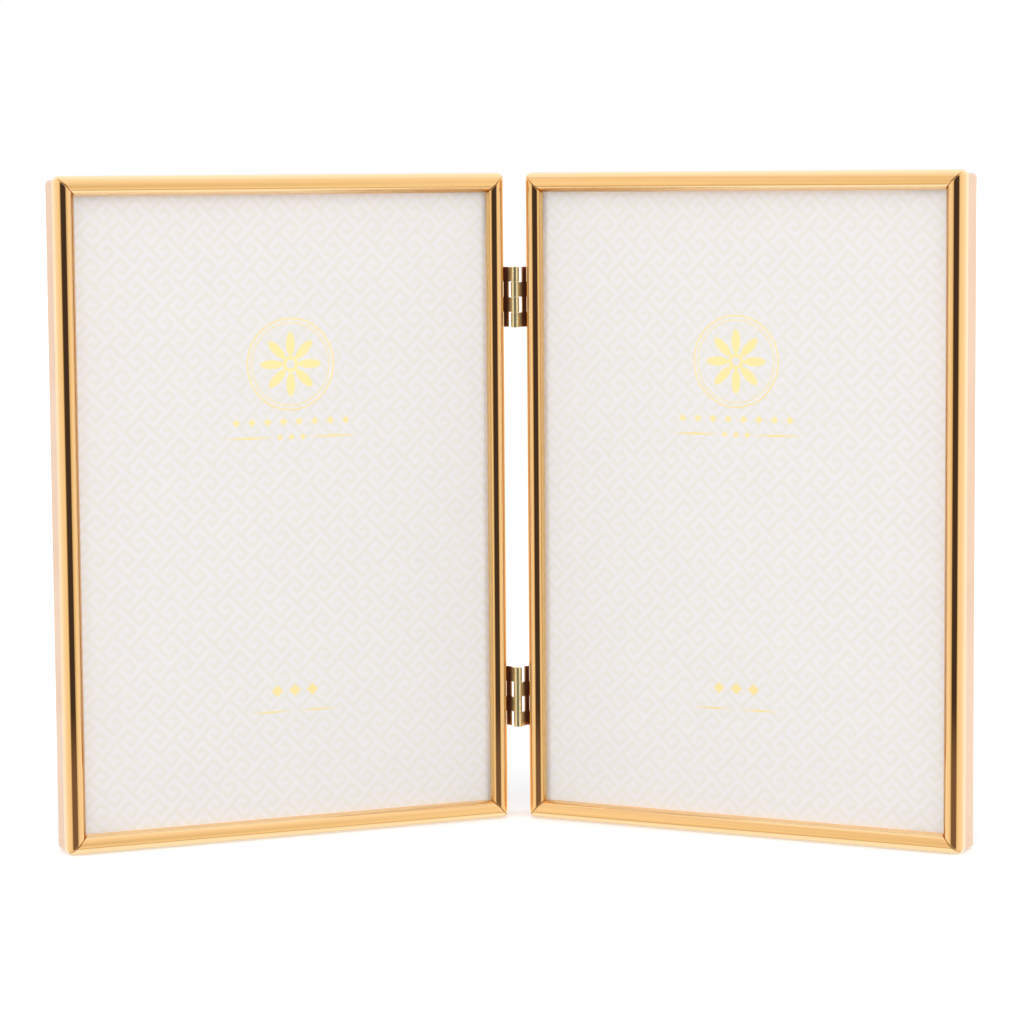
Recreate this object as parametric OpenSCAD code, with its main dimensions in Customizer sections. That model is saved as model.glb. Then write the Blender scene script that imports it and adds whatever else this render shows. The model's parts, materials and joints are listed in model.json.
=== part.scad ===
// Hinged double photo frame: two metal frames that stand open like a book.
// Millimetres, +Z up. The origin lies on the table, under the middle of the whole object.
// Each panel is drawn once, opened out flat beside the hinge line: X runs from the hinge line
// across the panel, Y from the hinge line to the back and Z up. place() then turns it.

/* [Panel] */
// Width of the picture that each panel is made for
picture_w = 127; // [80:1:235]
// Height of the picture that each panel is made for
picture_h = 177.8; // [100:0.1:290]
// Play between the picture and a side wall, at each side
side_play = 0.9; // [0.5:0.1:3]
// Play between the picture and a wall, at the top and at the bottom
end_play = 2; // [0.5:0.1:3]
// Angle that each panel is turned forward from lying in one plane
open_half = 25.6; // [0:0.1:80]

/* [Rail section] */
// Width of the bead seen from the front
face_w = 5.5; // [4.6:0.1:8]
// Distance from the outer edge to the crown of the bead
crown_in = 2.7; // [2.2:0.05:3]
// Depth of the sight edge behind the crown
sight_depth = 2.4; // [1.9:0.1:2.8]
// Depth behind the crown where the bead's outer side turns flat
round_depth = 3.3; // [2.9:0.1:4]
// Width of that flat, which the frame stands on
foot_w = 1.5; // [0.6:0.1:2]
// Distance that the side wall is set in behind the bead
wall_inset = 0.6; // [0.55:0.05:1]
// Thickness of the formed strip
strip_t = 0.5; // [0.3:0.05:0.6]
// Width of the lip folded inward at the back edge
lip_w = 1; // [0.8:0.1:2]

/* [Filling] */
// Thickness of the glass
glass_t = 2; // [1.5:0.1:3]
// Thickness of the insert card
card_t = 0.3; // [0.2:0.05:1]
// Thickness of the filler card
filler_t = 2.5; // [1.5:0.1:5]
// Thickness of the back board
board_t = 3; // [2:0.1:5]
// Thickness of the cloth that covers the board
cloth_t = 0.5; // [0.3:0.05:1]
// Play round a sheet that drops in through the back lip
drop_play = 0.2; // [0.1:0.05:0.5]
// Gap between sheets that lie on each other
stack_gap = 0.05; // [0.02:0.01:0.1]

/* [Hinges] */
// Gap between the two beads when the frame lies flat
hinge_gap = 4.3; // [4:0.1:6]
// Distance of the hinge line in front of the crowns
axis_ahead = 0.3; // [0.2:0.05:0.6]
// Height of a hinge
hinge_h = 17; // [10:0.5:40]
// Distance of a hinge's middle from the panel's nearer end
hinge_in = 35; // [10:1:45]
// Number of knuckles on a hinge
knuckles = 4; // [4:1:6]
// Gap between two knuckles
knuckle_gap = 0.15; // [0.1:0.05:0.3]
// Diameter of the hinge pin
pin_d = 1.3; // [1:0.1:1.4]
// Radial clearance of the pin in its knuckles
pin_play = 0.05; // [0.02:0.01:0.08]
// Height of the rounded head at each end of the pin
pin_dome = 0.2; // [0.1:0.05:0.4]
// Thickness of a leaf
leaf_t = 0.5; // [0.4:0.05:0.5]
// Width of the part of a leaf that lies on the side wall
leaf_seat_w = 3.6; // [2:0.1:4]
// Depth behind the hinge line where a leaf starts to bend outward
leaf_bend_in = 3.2; // [2.9:0.1:3.4]
// Depth behind the bead where the leaf reaches the side wall
leaf_clear = 2.1; // [1.8:0.1:2.4]
// Depth of the notch that lets the other leaf's knuckle turn
notch_depth = 2.6; // [2:0.1:2.8]

/* [Turn buttons] */
// Thickness of a turn button
button_t = 0.8; // [0.5:0.1:1.5]
// Width of a turn button
button_w = 7; // [5:0.5:12]
// Length from the rivet to the tip
button_reach = 9; // [6:0.5:14]
// Distance that the tip reaches under the lip
button_grip = 0.6; // [0.4:0.05:0.9]
// Gap in front of and behind a turn button
button_gap = 0.1; // [0.05:0.05:0.15]
// Gap between a turn button and the lip
lip_gap = 0.4; // [0.2:0.05:1]
// Diameter of a rivet's shank
rivet_d = 2; // [1.5:0.1:3]
// Diameter of a rivet's head
rivet_head_d = 4.4; // [3.4:0.1:6]
// Height of a rivet's head
rivet_head_t = 0.5; // [0.3:0.05:0.55]
// Diameter of the flared tail in the board
rivet_tail_d = 3.6; // [3.1:0.1:5]
// Thickness of the flared tail
rivet_tail_t = 0.4; // [0.3:0.05:0.6]

/* [Corner keys] */
// Length of a corner key's leg, along the rail
key_leg = 14; // [8:1:30]
// Width of a corner key's leg
key_w = 2.4; // [1.6:0.1:2.6]
// Thickness of a corner key
key_t = 0.8; // [0.5:0.1:0.9]

/* [Hidden] */
$fn = 64;
// Segments in each rounded quarter of the bead
bead_steps = 14;
// Small overrun for cuts
over = 1;

half_gap = hinge_gap / 2;
bead_depth = round_depth + foot_w;
wall_in = wall_inset + strip_t;
// Width and height of one panel over the metal
panel_w = picture_w + 2 * (side_play + wall_in);
panel_h = picture_h + 2 * (end_play + wall_in);
// Depths behind the crown of everything in the panel, from front to back
glass_v = sight_depth + stack_gap;
card_v = glass_v + glass_t + stack_gap;
filler_v = card_v + card_t + stack_gap;
board_v = filler_v + filler_t + stack_gap;
cloth_v = board_v + board_t;
button_v = cloth_v + cloth_t + button_gap;
head_v = button_v + button_t + button_gap;
panel_depth = button_v + button_t + lip_gap + strip_t;
// Size of the opening inside the back lip, and of a sheet that drops through it
drop_w = panel_w - 2 * (wall_in + lip_w + drop_play);
drop_h = panel_h - 2 * (wall_in + lip_w + drop_play);
// Distance of a rivet from the panel's edge
rivet_in = wall_in + lip_w - button_grip + button_reach;

bore_r = pin_d / 2 + pin_play;
barrel_r = bore_r + leaf_t;
leaf_x = bore_r + leaf_t / 2;
seat_x = half_gap + wall_inset - leaf_t / 2;
seat_y = axis_ahead + bead_depth + leaf_clear;
knuckle_h = (hinge_h - (knuckles - 1) * knuckle_gap) / knuckles;

// The hinge line's place in Y puts the origin under the middle of the whole object
front_reach = (panel_w + half_gap - crown_in) * sin(open_half) - (round_depth + axis_ahead) * cos(open_half)
    + norm([crown_in * sin(open_half), round_depth * cos(open_half)]);
back_reach = (panel_depth + axis_ahead) * cos(open_half) - (wall_inset + half_gap) * sin(open_half);
hinge_y = (front_reach - back_reach) / 2;

gold = "#e8b96b";
brass = "#d9c27a";

// Turns a flat panel to where it stands: side is 1 for the right panel and -1 for the left
module place(side) {
    translate([0, hinge_y, 0])
        rotate([0, 0, -side * open_half])
            mirror([side < 0 ? 1 : 0, 0, 0]) children();
}

// A quarter of an oval: from its crown at angle 0 to its side at angle 90
function quarter(middle, across, deep) =
    [for (i = [0 : bead_steps]) let (a = 90 * i / bead_steps)
        [middle[0] + across * sin(a), middle[1] - deep * cos(a)]];
function reversed(list) = [for (i = [len(list) - 1 : -1 : 0]) list[i]];

// Section of a rail: s inward from the outer edge, then depth behind the crown
module rail_section() {
    outside = concat(
        reversed(quarter([crown_in, sight_depth], face_w - crown_in, sight_depth)),
        quarter([crown_in, round_depth], -crown_in, round_depth));
    inside = concat(
        reversed(quarter([crown_in, round_depth], strip_t - crown_in, round_depth - strip_t)),
        quarter([crown_in, sight_depth], face_w - crown_in - strip_t, sight_depth - strip_t));
    wall = [
        [0, bead_depth], [wall_inset, bead_depth], [wall_inset, panel_depth],
        [wall_in + lip_w, panel_depth], [wall_in + lip_w, panel_depth - strip_t],
        [wall_in, panel_depth - strip_t], [wall_in, bead_depth - strip_t],
        [strip_t, bead_depth - strip_t]];
    polygon(concat(outside, wall, inside));
}

// What one rail keeps between its mitres: length along its outer edge
module between_mitres(length) {
    translate([0, panel_depth + over, 0])
        rotate([90, 0, 0])
            linear_extrude(panel_depth + 2 * over)
                polygon([[0, 0], [0, length], [face_w + over, length - face_w - over],
                    [face_w + over, face_w + over]]);
}

// A rail standing on its end, with its outer edge along Z
module rail(length) {
    color(gold)
        intersection() {
            linear_extrude(length) rail_section();
            between_mitres(length);
        }
}

module hinge_rail() {
    translate([half_gap, axis_ahead, 0]) rail(panel_h);
}

module outer_rail() {
    translate([half_gap + panel_w, axis_ahead, 0]) mirror([1, 0, 0]) rail(panel_h);
}

module top_rail() {
    translate([half_gap, axis_ahead, panel_h]) rotate([0, 90, 0]) rail(panel_w);
}

module bottom_rail() {
    translate([half_gap, axis_ahead, 0]) mirror([0, 0, 1]) rotate([0, 90, 0]) rail(panel_w);
}

// A flat sheet in the middle of the panel
module sheet(width, height, depth, thickness) {
    translate([half_gap + (panel_w - width) / 2, axis_ahead + depth, (panel_h - height) / 2])
        cube([width, thickness, height]);
}

module glass() {
    color("#dfeaea", 0.35) sheet(drop_w, drop_h, glass_v, glass_t);
}

module insert_card() {
    color("#eeeae6") sheet(picture_w, picture_h, card_v, card_t);
}

module filler_card() {
    color("#c9b18a") sheet(drop_w, drop_h, filler_v, filler_t);
}

// Puts its children at both rivets, with Z pointing out of the panel's back
module at_rivets(depth) {
    for (x = [rivet_in, panel_w - rivet_in]) at_rivet(x, depth) children();
}

module at_rivet(x, depth) {
    translate([half_gap + x, axis_ahead + depth, panel_h / 2]) rotate([-90, 0, 0]) children();
}

module back_board() {
    color("#6b4a2f")
        difference() {
            sheet(drop_w - 2 * cloth_t, drop_h - 2 * cloth_t, board_v, board_t);
            at_rivets(board_v - over) cylinder(d = rivet_d + 2 * pin_play, h = board_t + 2 * over);
            at_rivets(board_v - over)
                cylinder(d = rivet_tail_d + 2 * pin_play, h = over + rivet_tail_t + stack_gap);
        }
}

module velvet_cover() {
    color("#17161a")
        difference() {
            sheet(drop_w, drop_h, board_v, board_t + cloth_t);
            sheet(drop_w - 2 * cloth_t, drop_h - 2 * cloth_t, board_v - over, board_t + over);
            at_rivets(cloth_v - over) cylinder(d = rivet_d + 2 * pin_play, h = cloth_t + 2 * over);
        }
}

module button_rivets() {
    color(brass)
        at_rivets(board_v + stack_gap)
            union() {
                cylinder(d = rivet_tail_d, h = rivet_tail_t);
                cylinder(d = rivet_d, h = head_v - board_v - stack_gap + rivet_head_t / 2);
                translate([0, 0, head_v - board_v - stack_gap]) rivet_head();
            }
}

// A low round head: a slice of a ball on a short rim
module rivet_head() {
    rim = rivet_head_t / 2;
    ball_r = (pow(rivet_head_d / 2, 2) + pow(rim, 2)) / (2 * rim);
    cylinder(d = rivet_head_d, h = rim);
    intersection() {
        translate([0, 0, rivet_head_t - ball_r]) sphere(r = ball_r, $fn = 96);
        translate([0, 0, rim / 2]) cylinder(d = rivet_head_d, h = rivet_head_t);
    }
}

// A turn button that points away from the panel's middle, with its tip under the lip
module turn_button() {
    tip_r = button_w / 2;
    color(brass)
        linear_extrude(button_t)
            difference() {
                union() {
                    circle(r = tip_r);
                    translate([0, -tip_r]) square([button_reach - tip_r, button_w]);
                    translate([button_reach - tip_r, 0]) circle(r = tip_r);
                }
                circle(d = rivet_d + 2 * pin_play);
            }
}

module outer_turn_button() {
    at_rivet(panel_w - rivet_in, button_v) turn_button();
}

module inner_turn_button() {
    at_rivet(rivet_in, button_v) mirror([1, 0, 0]) turn_button();
}

// One flat corner key for each mitre, inside the hollow bead
module corner_keys() {
    color("#9a9a98")
        for (x = [0, 1], z = [0, 1])
            translate([half_gap + x * panel_w, axis_ahead, z * panel_h])
                mirror([x, 0, 0]) mirror([0, 0, z]) corner_key();
}

module corner_key() {
    start = (face_w - key_w) / 2;
    translate([0, sight_depth - stack_gap, 0])
        rotate([90, 0, 0])
            linear_extrude(key_t)
                translate([start, start])
                    difference() {
                        square(key_leg);
                        translate([key_w, key_w]) square(key_leg);
                    }
}

// A strip of sheet metal that follows points, as an outline of even thickness
function heading(points, i) = (points[i] - points[i - 1]) / norm(points[i] - points[i - 1]);
function corner_side(points, i) =
    let (last = len(points) - 1,
         before = heading(points, max(i, 1)),
         after = heading(points, min(i + 1, last)),
         middle = (before + after) / norm(before + after),
         stretch = 1 / (middle * before))
    [-middle[1], middle[0]] * stretch;
module bent_strip(points, thickness) {
    sides = [for (i = [0 : len(points) - 1]) corner_side(points, i) * thickness / 2];
    polygon(concat(
        [for (i = [0 : len(points) - 1]) points[i] + sides[i]],
        [for (i = [len(points) - 1 : -1 : 0]) points[i] - sides[i]]));
}

// A hinge leaf: its seat lies on the side wall, behind the bead, and its fingers curl round the
// pin. first is 0 for the leaf that has the top knuckle and 1 for the other.
module leaf(middle_z, first) {
    top_z = middle_z + hinge_h / 2;
    color(brass)
        union() {
            translate([0, 0, middle_z - hinge_h / 2])
                linear_extrude(hinge_h)
                    bent_strip([[leaf_x, notch_depth], [leaf_x, leaf_bend_in], [seat_x, seat_y],
                        [seat_x, seat_y + leaf_seat_w]], leaf_t);
            for (i = [first : 2 : knuckles - 1])
                translate([0, 0, top_z - i * (knuckle_h + knuckle_gap) - knuckle_h])
                    linear_extrude(knuckle_h) finger();
        }
}

module finger() {
    difference() {
        union() {
            circle(r = barrel_r);
            translate([bore_r, 0]) square([leaf_t, (notch_depth + leaf_bend_in) / 2]);
        }
        circle(r = bore_r);
    }
}

module hinge_pin(middle_z) {
    ball_r = (pow(pin_d / 2, 2) + pow(pin_dome, 2)) / (2 * pin_dome);
    color("#b8a45e")
        translate([0, hinge_y, middle_z])
            intersection() {
                cylinder(d = pin_d, h = hinge_h + 2 * pin_dome, center = true);
                translate([0, 0, hinge_h / 2 + pin_dome - ball_r]) pin_end(ball_r);
                mirror([0, 0, 1]) translate([0, 0, hinge_h / 2 + pin_dome - ball_r]) pin_end(ball_r);
            }
}

// Everything below a ball's top
module pin_end(ball_r) {
    sphere(r = ball_r);
    mirror([0, 0, 1]) cylinder(r = ball_r, h = hinge_h + 2 * ball_r);
}

upper_z = panel_h - hinge_in;
lower_z = hinge_in;

place(-1) top_rail();  // left_top_rail
place(-1) bottom_rail();  // left_bottom_rail
place(-1) outer_rail();  // left_outer_rail
place(-1) hinge_rail();  // left_hinge_rail
place(-1) corner_keys();  // left_corner_keys
place(-1) glass();  // left_glass
place(-1) insert_card();  // left_insert_card
place(-1) filler_card();  // left_filler_card
place(-1) back_board();  // left_back_board
place(-1) velvet_cover();  // left_velvet_cover
place(-1) button_rivets();  // left_button_rivets
place(-1) outer_turn_button();  // left_outer_turn_button
place(-1) inner_turn_button();  // left_inner_turn_button
place(1) top_rail();  // right_top_rail
place(1) bottom_rail();  // right_bottom_rail
place(1) outer_rail();  // right_outer_rail
place(1) hinge_rail();  // right_hinge_rail
place(1) corner_keys();  // right_corner_keys
place(1) glass();  // right_glass
place(1) insert_card();  // right_insert_card
place(1) filler_card();  // right_filler_card
place(1) back_board();  // right_back_board
place(1) velvet_cover();  // right_velvet_cover
place(1) button_rivets();  // right_button_rivets
place(1) outer_turn_button();  // right_outer_turn_button
place(1) inner_turn_button();  // right_inner_turn_button
place(-1) leaf(upper_z, 0);  // upper_left_leaf
place(1) leaf(upper_z, 1);  // upper_right_leaf
hinge_pin(upper_z);  // upper_hinge_pin
place(-1) leaf(lower_z, 0);  // lower_left_leaf
place(1) leaf(lower_z, 1);  // lower_right_leaf
hinge_pin(lower_z);  // lower_hinge_pin
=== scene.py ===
"""Looks for the hinged double photo frame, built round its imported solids.

Sizes are in millimetres. Each panel is described opened out flat beside the hinge line: X runs
from the hinge line across the panel, Y from the hinge line to the back and Z up. Panel.stand
turns a place to where the panel stands, in metres.
"""

import json
import logging
import math
from dataclasses import dataclass
from enum import Enum
from typing import Any, Callable, Iterable, Sequence

import bmesh
import bpy
from mathutils import Matrix, Vector

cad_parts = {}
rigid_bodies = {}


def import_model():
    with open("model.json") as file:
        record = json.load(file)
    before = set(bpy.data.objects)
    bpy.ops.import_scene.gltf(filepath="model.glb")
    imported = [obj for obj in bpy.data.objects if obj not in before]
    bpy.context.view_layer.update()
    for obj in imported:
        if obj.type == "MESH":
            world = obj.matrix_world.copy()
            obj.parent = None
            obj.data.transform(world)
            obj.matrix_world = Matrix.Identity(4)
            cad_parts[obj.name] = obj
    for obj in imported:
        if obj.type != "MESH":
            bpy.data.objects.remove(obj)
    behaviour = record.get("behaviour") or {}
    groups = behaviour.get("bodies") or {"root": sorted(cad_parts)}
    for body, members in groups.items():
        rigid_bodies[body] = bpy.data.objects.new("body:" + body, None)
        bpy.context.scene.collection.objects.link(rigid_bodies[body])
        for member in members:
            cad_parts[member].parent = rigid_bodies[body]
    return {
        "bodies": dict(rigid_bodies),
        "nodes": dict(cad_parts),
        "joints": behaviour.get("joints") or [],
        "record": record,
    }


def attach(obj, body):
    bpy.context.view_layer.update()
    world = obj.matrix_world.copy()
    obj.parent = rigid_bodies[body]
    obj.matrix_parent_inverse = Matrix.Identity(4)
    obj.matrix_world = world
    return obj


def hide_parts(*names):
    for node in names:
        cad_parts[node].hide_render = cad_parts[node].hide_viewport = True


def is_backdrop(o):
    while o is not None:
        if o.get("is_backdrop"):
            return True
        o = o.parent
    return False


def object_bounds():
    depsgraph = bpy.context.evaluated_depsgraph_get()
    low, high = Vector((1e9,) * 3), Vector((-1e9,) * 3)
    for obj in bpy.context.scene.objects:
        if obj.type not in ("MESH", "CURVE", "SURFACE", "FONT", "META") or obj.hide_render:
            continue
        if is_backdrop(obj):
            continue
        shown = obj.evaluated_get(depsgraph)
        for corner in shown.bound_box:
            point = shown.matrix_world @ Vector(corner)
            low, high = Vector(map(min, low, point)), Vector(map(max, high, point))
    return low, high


MM = 0.001
SAME_POINT = 0.0001 * MM
log = logging.getLogger("photo frame")

Pair = tuple[float, float]
Triple = tuple[float, float, float]
Colour = Triple


# Shader and geometry trees


def tone(red: int, green: int, blue: int) -> Colour:
    """Turn a colour from screen values of 0 to 255 into the linear values that shaders take."""
    shares = (value / 255 for value in (red, green, blue))
    return tuple(s / 12.92 if s <= 0.04045 else ((s + 0.055) / 1.055) ** 2.4 for s in shares)


def socket_of(sockets: Any, key: str | int) -> bpy.types.NodeSocket:
    """Find a socket.

    Args:
        sockets: A node's inputs or outputs.
        key: A socket's place, its identifier or its name.

    Returns:
        The socket.
    """
    if isinstance(key, int):
        return sockets[key]
    for socket in sockets:
        if socket.identifier == key:
            return socket
    return sockets[key]


class Tree:
    """A node tree that is filled one node at a time."""

    def __init__(self, nodes: bpy.types.NodeTree) -> None:
        """Keep the tree and empty it."""
        self.nodes = nodes
        nodes.nodes.clear()

    def node(self, kind: str, settings: dict | None = None, inputs: dict | None = None) -> bpy.types.Node:
        """Add one node.

        Args:
            kind: The node's type.
            settings: The node's own properties. A list under "stops" fills its colour ramp.
            inputs: What goes into its sockets: numbers, colours, sockets or values.

        Returns:
            The new node.
        """
        made = self.nodes.nodes.new(kind)
        for name, setting in (settings or {}).items():
            if name == "stops":
                self._fill_ramp(made.color_ramp, setting)
            else:
                setattr(made, name, setting)
        for key, given in (inputs or {}).items():
            self.feed(socket_of(made.inputs, key), given)
        return made

    def feed(self, socket: bpy.types.NodeSocket, given: Any) -> None:
        """Link or set one input socket.

        Args:
            socket: The input.
            given: A socket or value to link, or a number, colour or vector to set.
        """
        if isinstance(given, Value):
            given = given.socket
        if isinstance(given, bpy.types.NodeSocket):
            self.nodes.links.new(given, socket)
        elif isinstance(given, tuple) and len(given) == 3 and socket.type == "RGBA":
            socket.default_value = (*given, 1.0)
        else:
            socket.default_value = given

    def value(self, socket: bpy.types.NodeSocket | float) -> "Value":
        """Wrap a socket or a number for arithmetic."""
        return Value(self, socket)

    def parts(self, vector: bpy.types.NodeSocket) -> list["Value"]:
        """Take a vector apart into x, y and z."""
        return [self.value(part) for part in self.node("ShaderNodeSeparateXYZ", None, {0: vector}).outputs]

    def vectors(self, operation: str, first: Any, second: Any) -> bpy.types.NodeSocket:
        """Work out one colour or vector from two, part by part."""
        return self.node("ShaderNodeVectorMath", {"operation": operation}, {0: first, 1: second}).outputs[0]

    def blend(self, share: "Value", first: Any, second: Any) -> bpy.types.NodeSocket:
        """Mix two colours.

        Args:
            share: How much there is of the second, from 0 to 1.
            first: A colour, or a socket that gives one.
            second: The other colour.

        Returns:
            The mixed colour.
        """
        inputs = {"Factor_Float": share, "A_Color": first, "B_Color": second}
        return socket_of(self.node("ShaderNodeMix", {"data_type": "RGBA"}, inputs).outputs, "Result_Color")

    @staticmethod
    def _fill_ramp(ramp: bpy.types.ColorRamp, stops: Sequence[tuple[float, Colour]]) -> None:
        """Fill a colour ramp.

        Args:
            ramp: The ramp.
            stops: Places from 0 to 1, each with its colour.
        """
        while len(ramp.elements) < len(stops):
            ramp.elements.new(1.0)
        for element, (place, colour) in zip(ramp.elements, stops):
            element.position = place
            element.color = (*colour, 1.0)


class Value:
    """A number in a shader: arithmetic on it adds the Math nodes."""

    def __init__(self, tree: Tree, socket: bpy.types.NodeSocket | float) -> None:
        """Keep the tree and the socket or number."""
        self.tree = tree
        self.socket = socket

    def math(self, operation: str, *others: "Value | float") -> "Value":
        """Add a Math node with this value in its first socket.

        Args:
            operation: The Math node's operation.
            others: What goes into its other sockets.

        Returns:
            The node's result.
        """
        node = self.tree.node("ShaderNodeMath", {"operation": operation}, dict(enumerate((self, *others))))
        return Value(self.tree, node.outputs[0])

    def __add__(self, other: "Value | float") -> "Value":
        """Sum."""
        return self.math("ADD", other)

    __radd__ = __add__

    def __sub__(self, other: "Value | float") -> "Value":
        """Difference."""
        return self.math("SUBTRACT", other)

    def __rsub__(self, other: "Value | float") -> "Value":
        """Difference from a number."""
        return Value(self.tree, other).math("SUBTRACT", self)

    def __mul__(self, other: "Value | float") -> "Value":
        """Product."""
        return self.math("MULTIPLY", other)

    __rmul__ = __mul__

    def __truediv__(self, other: "Value | float") -> "Value":
        """Quotient."""
        return self.math("DIVIDE", other)

    def __abs__(self) -> "Value":
        """Size without the sign."""
        return self.math("ABSOLUTE")

    def __lt__(self, other: "Value | float") -> "Value":
        """One where this is less, else nought."""
        return self.math("LESS_THAN", other)

    def __or__(self, other: "Value | float") -> "Value":
        """The greater of two masks."""
        return self.math("MAXIMUM", other)

    def __and__(self, other: "Value | float") -> "Value":
        """Both masks at once."""
        return self.math("MULTIPLY", other)

    def wrapped(self) -> "Value":
        """The distance to the nearest whole number, with its sign."""
        return self.math("WRAP", 0.5, -0.5)

    def ramp(self, low: float, high: float, start: float = 0.0, end: float = 1.0) -> "Value":
        """Rise smoothly.

        Args:
            low: Where the rise starts.
            high: Where it ends.
            start: The result below low.
            end: The result above high.

        Returns:
            The smooth step.
        """
        node = self.tree.node(
            "ShaderNodeMapRange",
            {"interpolation_type": "SMOOTHSTEP"},
            {"Value": self, "From Min": low, "From Max": high, "To Min": start, "To Max": end},
        )
        return Value(self.tree, node.outputs["Result"])


class Shader(Tree):
    """A material's node tree, with the nodes that several finishes need."""

    def __init__(self, name: str) -> None:
        """Make the material.

        Args:
            name: Its name.
        """
        self.material = bpy.data.materials.new(name)
        self.material.use_nodes = True
        super().__init__(self.material.node_tree)

    def place(self, scale: Triple = (1, 1, 1)) -> bpy.types.NodeSocket:
        """Object coordinates in metres, stretched by a Mapping node."""
        coordinates = self.node("ShaderNodeTexCoord").outputs["Object"]
        return self.node("ShaderNodeMapping", None, {"Vector": coordinates, "Scale": scale}).outputs[0]

    def along(self, scale: Triple) -> bpy.types.NodeSocket:
        """The piece's own lengthwise map in metres, stretched by a Mapping node."""
        lengths = self.node("ShaderNodeUVMap", {"uv_map": "along"}).outputs[0]
        return self.node("ShaderNodeMapping", None, {"Vector": lengths, "Scale": scale}).outputs[0]

    def noise(self, vector: bpy.types.NodeSocket, scale: float, detail: float = 2.0) -> Value:
        """Cloudy noise from 0 to 1."""
        inputs = {"Vector": vector, "Scale": scale, "Detail": detail}
        return self.value(self.node("ShaderNodeTexNoise", None, inputs).outputs[0])

    def bump(self, height: Value, depth: float) -> bpy.types.NodeSocket:
        """Turn a height of 0 to 1 into a surface that is depth metres deep."""
        inputs = {"Height": height, "Distance": depth, "Strength": 1.0}
        return self.node("ShaderNodeBump", None, inputs).outputs[0]

    def surface(self, inputs: dict) -> bpy.types.Node:
        """Add the main shader."""
        return self.node("ShaderNodeBsdfPrincipled", None, inputs)

    def output(self, shader: bpy.types.Node) -> bpy.types.Material:
        """Link the shader to the output and return the material."""
        self.node("ShaderNodeOutputMaterial", None, {"Surface": shader.outputs[0]})
        return self.material

    def finish(self, inputs: dict) -> bpy.types.Material:
        """End in the main shader and return the material."""
        return self.output(self.surface(inputs))


# Finishes


@dataclass(frozen=True)
class RolledPlate:
    """Bright plate on rolled strip, with faint streaks along the strip and a trace of haze.

    A bead's sight edge has painted shade: its colour is darkened there, a painted reflection of the
    darker gold across from it. The painted shade fades out over its ends, in millimetres from the
    sight edge, and over its run, in millimetres along the rail. The inside of a rail glows with
    painted bounce light, an emission seen only by rays that have bounced off a diffuse surface.
    """

    name: str
    colour: Colour
    gloss: float
    haze: float
    streak: float
    # Painted shade of the sight edge, and painted bounce light that the inside gives off
    painted_shade: Colour = (1.0, 1.0, 1.0)
    painted_shade_ends: Pair = (0.0, 0.0)
    painted_shade_run: Pair = (0.0, 0.0)
    painted_bounce_glow: Colour = (0.0, 0.0, 0.0)

    # How often the streaks change in a metre along the strip, across it and through it
    STREAKS = (9.0, 1500.0, 1.0)
    # What the streaks leave of the colour
    DEEPER = (0.97, 0.93, 0.86)
    # How many clouds and specks of haze there are in a metre
    CLOUDS = 45.0
    SPECKS = 2600.0

    def _tint(self, shader: Shader, streaks: Value) -> bpy.types.NodeSocket:
        """Mix the plate's colour: deeper in the streaks, and darker in the painted shade along its first
        edge.

        Args:
            shader: The material's tree.
            streaks: The streaks, from 0 to 1.

        Returns:
            The colour.
        """
        deeper = tuple(part * share for part, share in zip(self.colour, self.DEEPER))
        streaked = shader.blend(streaks.ramp(0.35, 0.7), self.colour, deeper)
        if not self.painted_shade_ends[1]:
            return streaked
        # Painted shade: a darker band along the sight edge that stands for the darker gold it mirrors
        run, over, _ = shader.parts(shader.along((1 / MM, 1 / MM, 1.0)))
        band = over.ramp(*self.painted_shade_ends, 1.0, 0.0) * run.ramp(*self.painted_shade_run, 1.0, 0.0)
        shaded = tuple(part * share for part, share in zip(self.colour, self.painted_shade))
        return shader.blend(band, streaked, shaded)

    def build(self) -> bpy.types.Material:
        """Make the finish.

        Returns:
            Its material.
        """
        shader = Shader(self.name)
        streaks = shader.noise(shader.along(self.STREAKS), 1.0, 3.0)
        cloud = shader.noise(shader.place(), self.CLOUDS, 4.0)
        specks = shader.noise(shader.place(), self.SPECKS, 1.0).ramp(0.68, 0.8)
        inputs = {
            "Base Color": self._tint(shader, streaks),
            "Metallic": 1.0,
            "Roughness": cloud.ramp(0.35, 0.7, self.gloss, self.gloss + self.haze) + specks * 0.05,
            "Normal": shader.bump(streaks, self.streak),
        }
        # Painted bounce light: the inside glows only for rays that have bounced off a diffuse surface
        if any(self.painted_bounce_glow):
            bounces = shader.value(shader.node("ShaderNodeLightPath").outputs["Diffuse Depth"])
            bounce_glow_mask = bounces.math("GREATER_THAN", 0.5)
            inputs["Emission Color"] = shader.blend(bounce_glow_mask, (0.0, 0.0, 0.0), self.painted_bounce_glow)
            inputs["Emission Strength"] = 1.0
            shader.material.cycles.emission_sampling = "NONE"
        return shader.finish(inputs)


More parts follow.
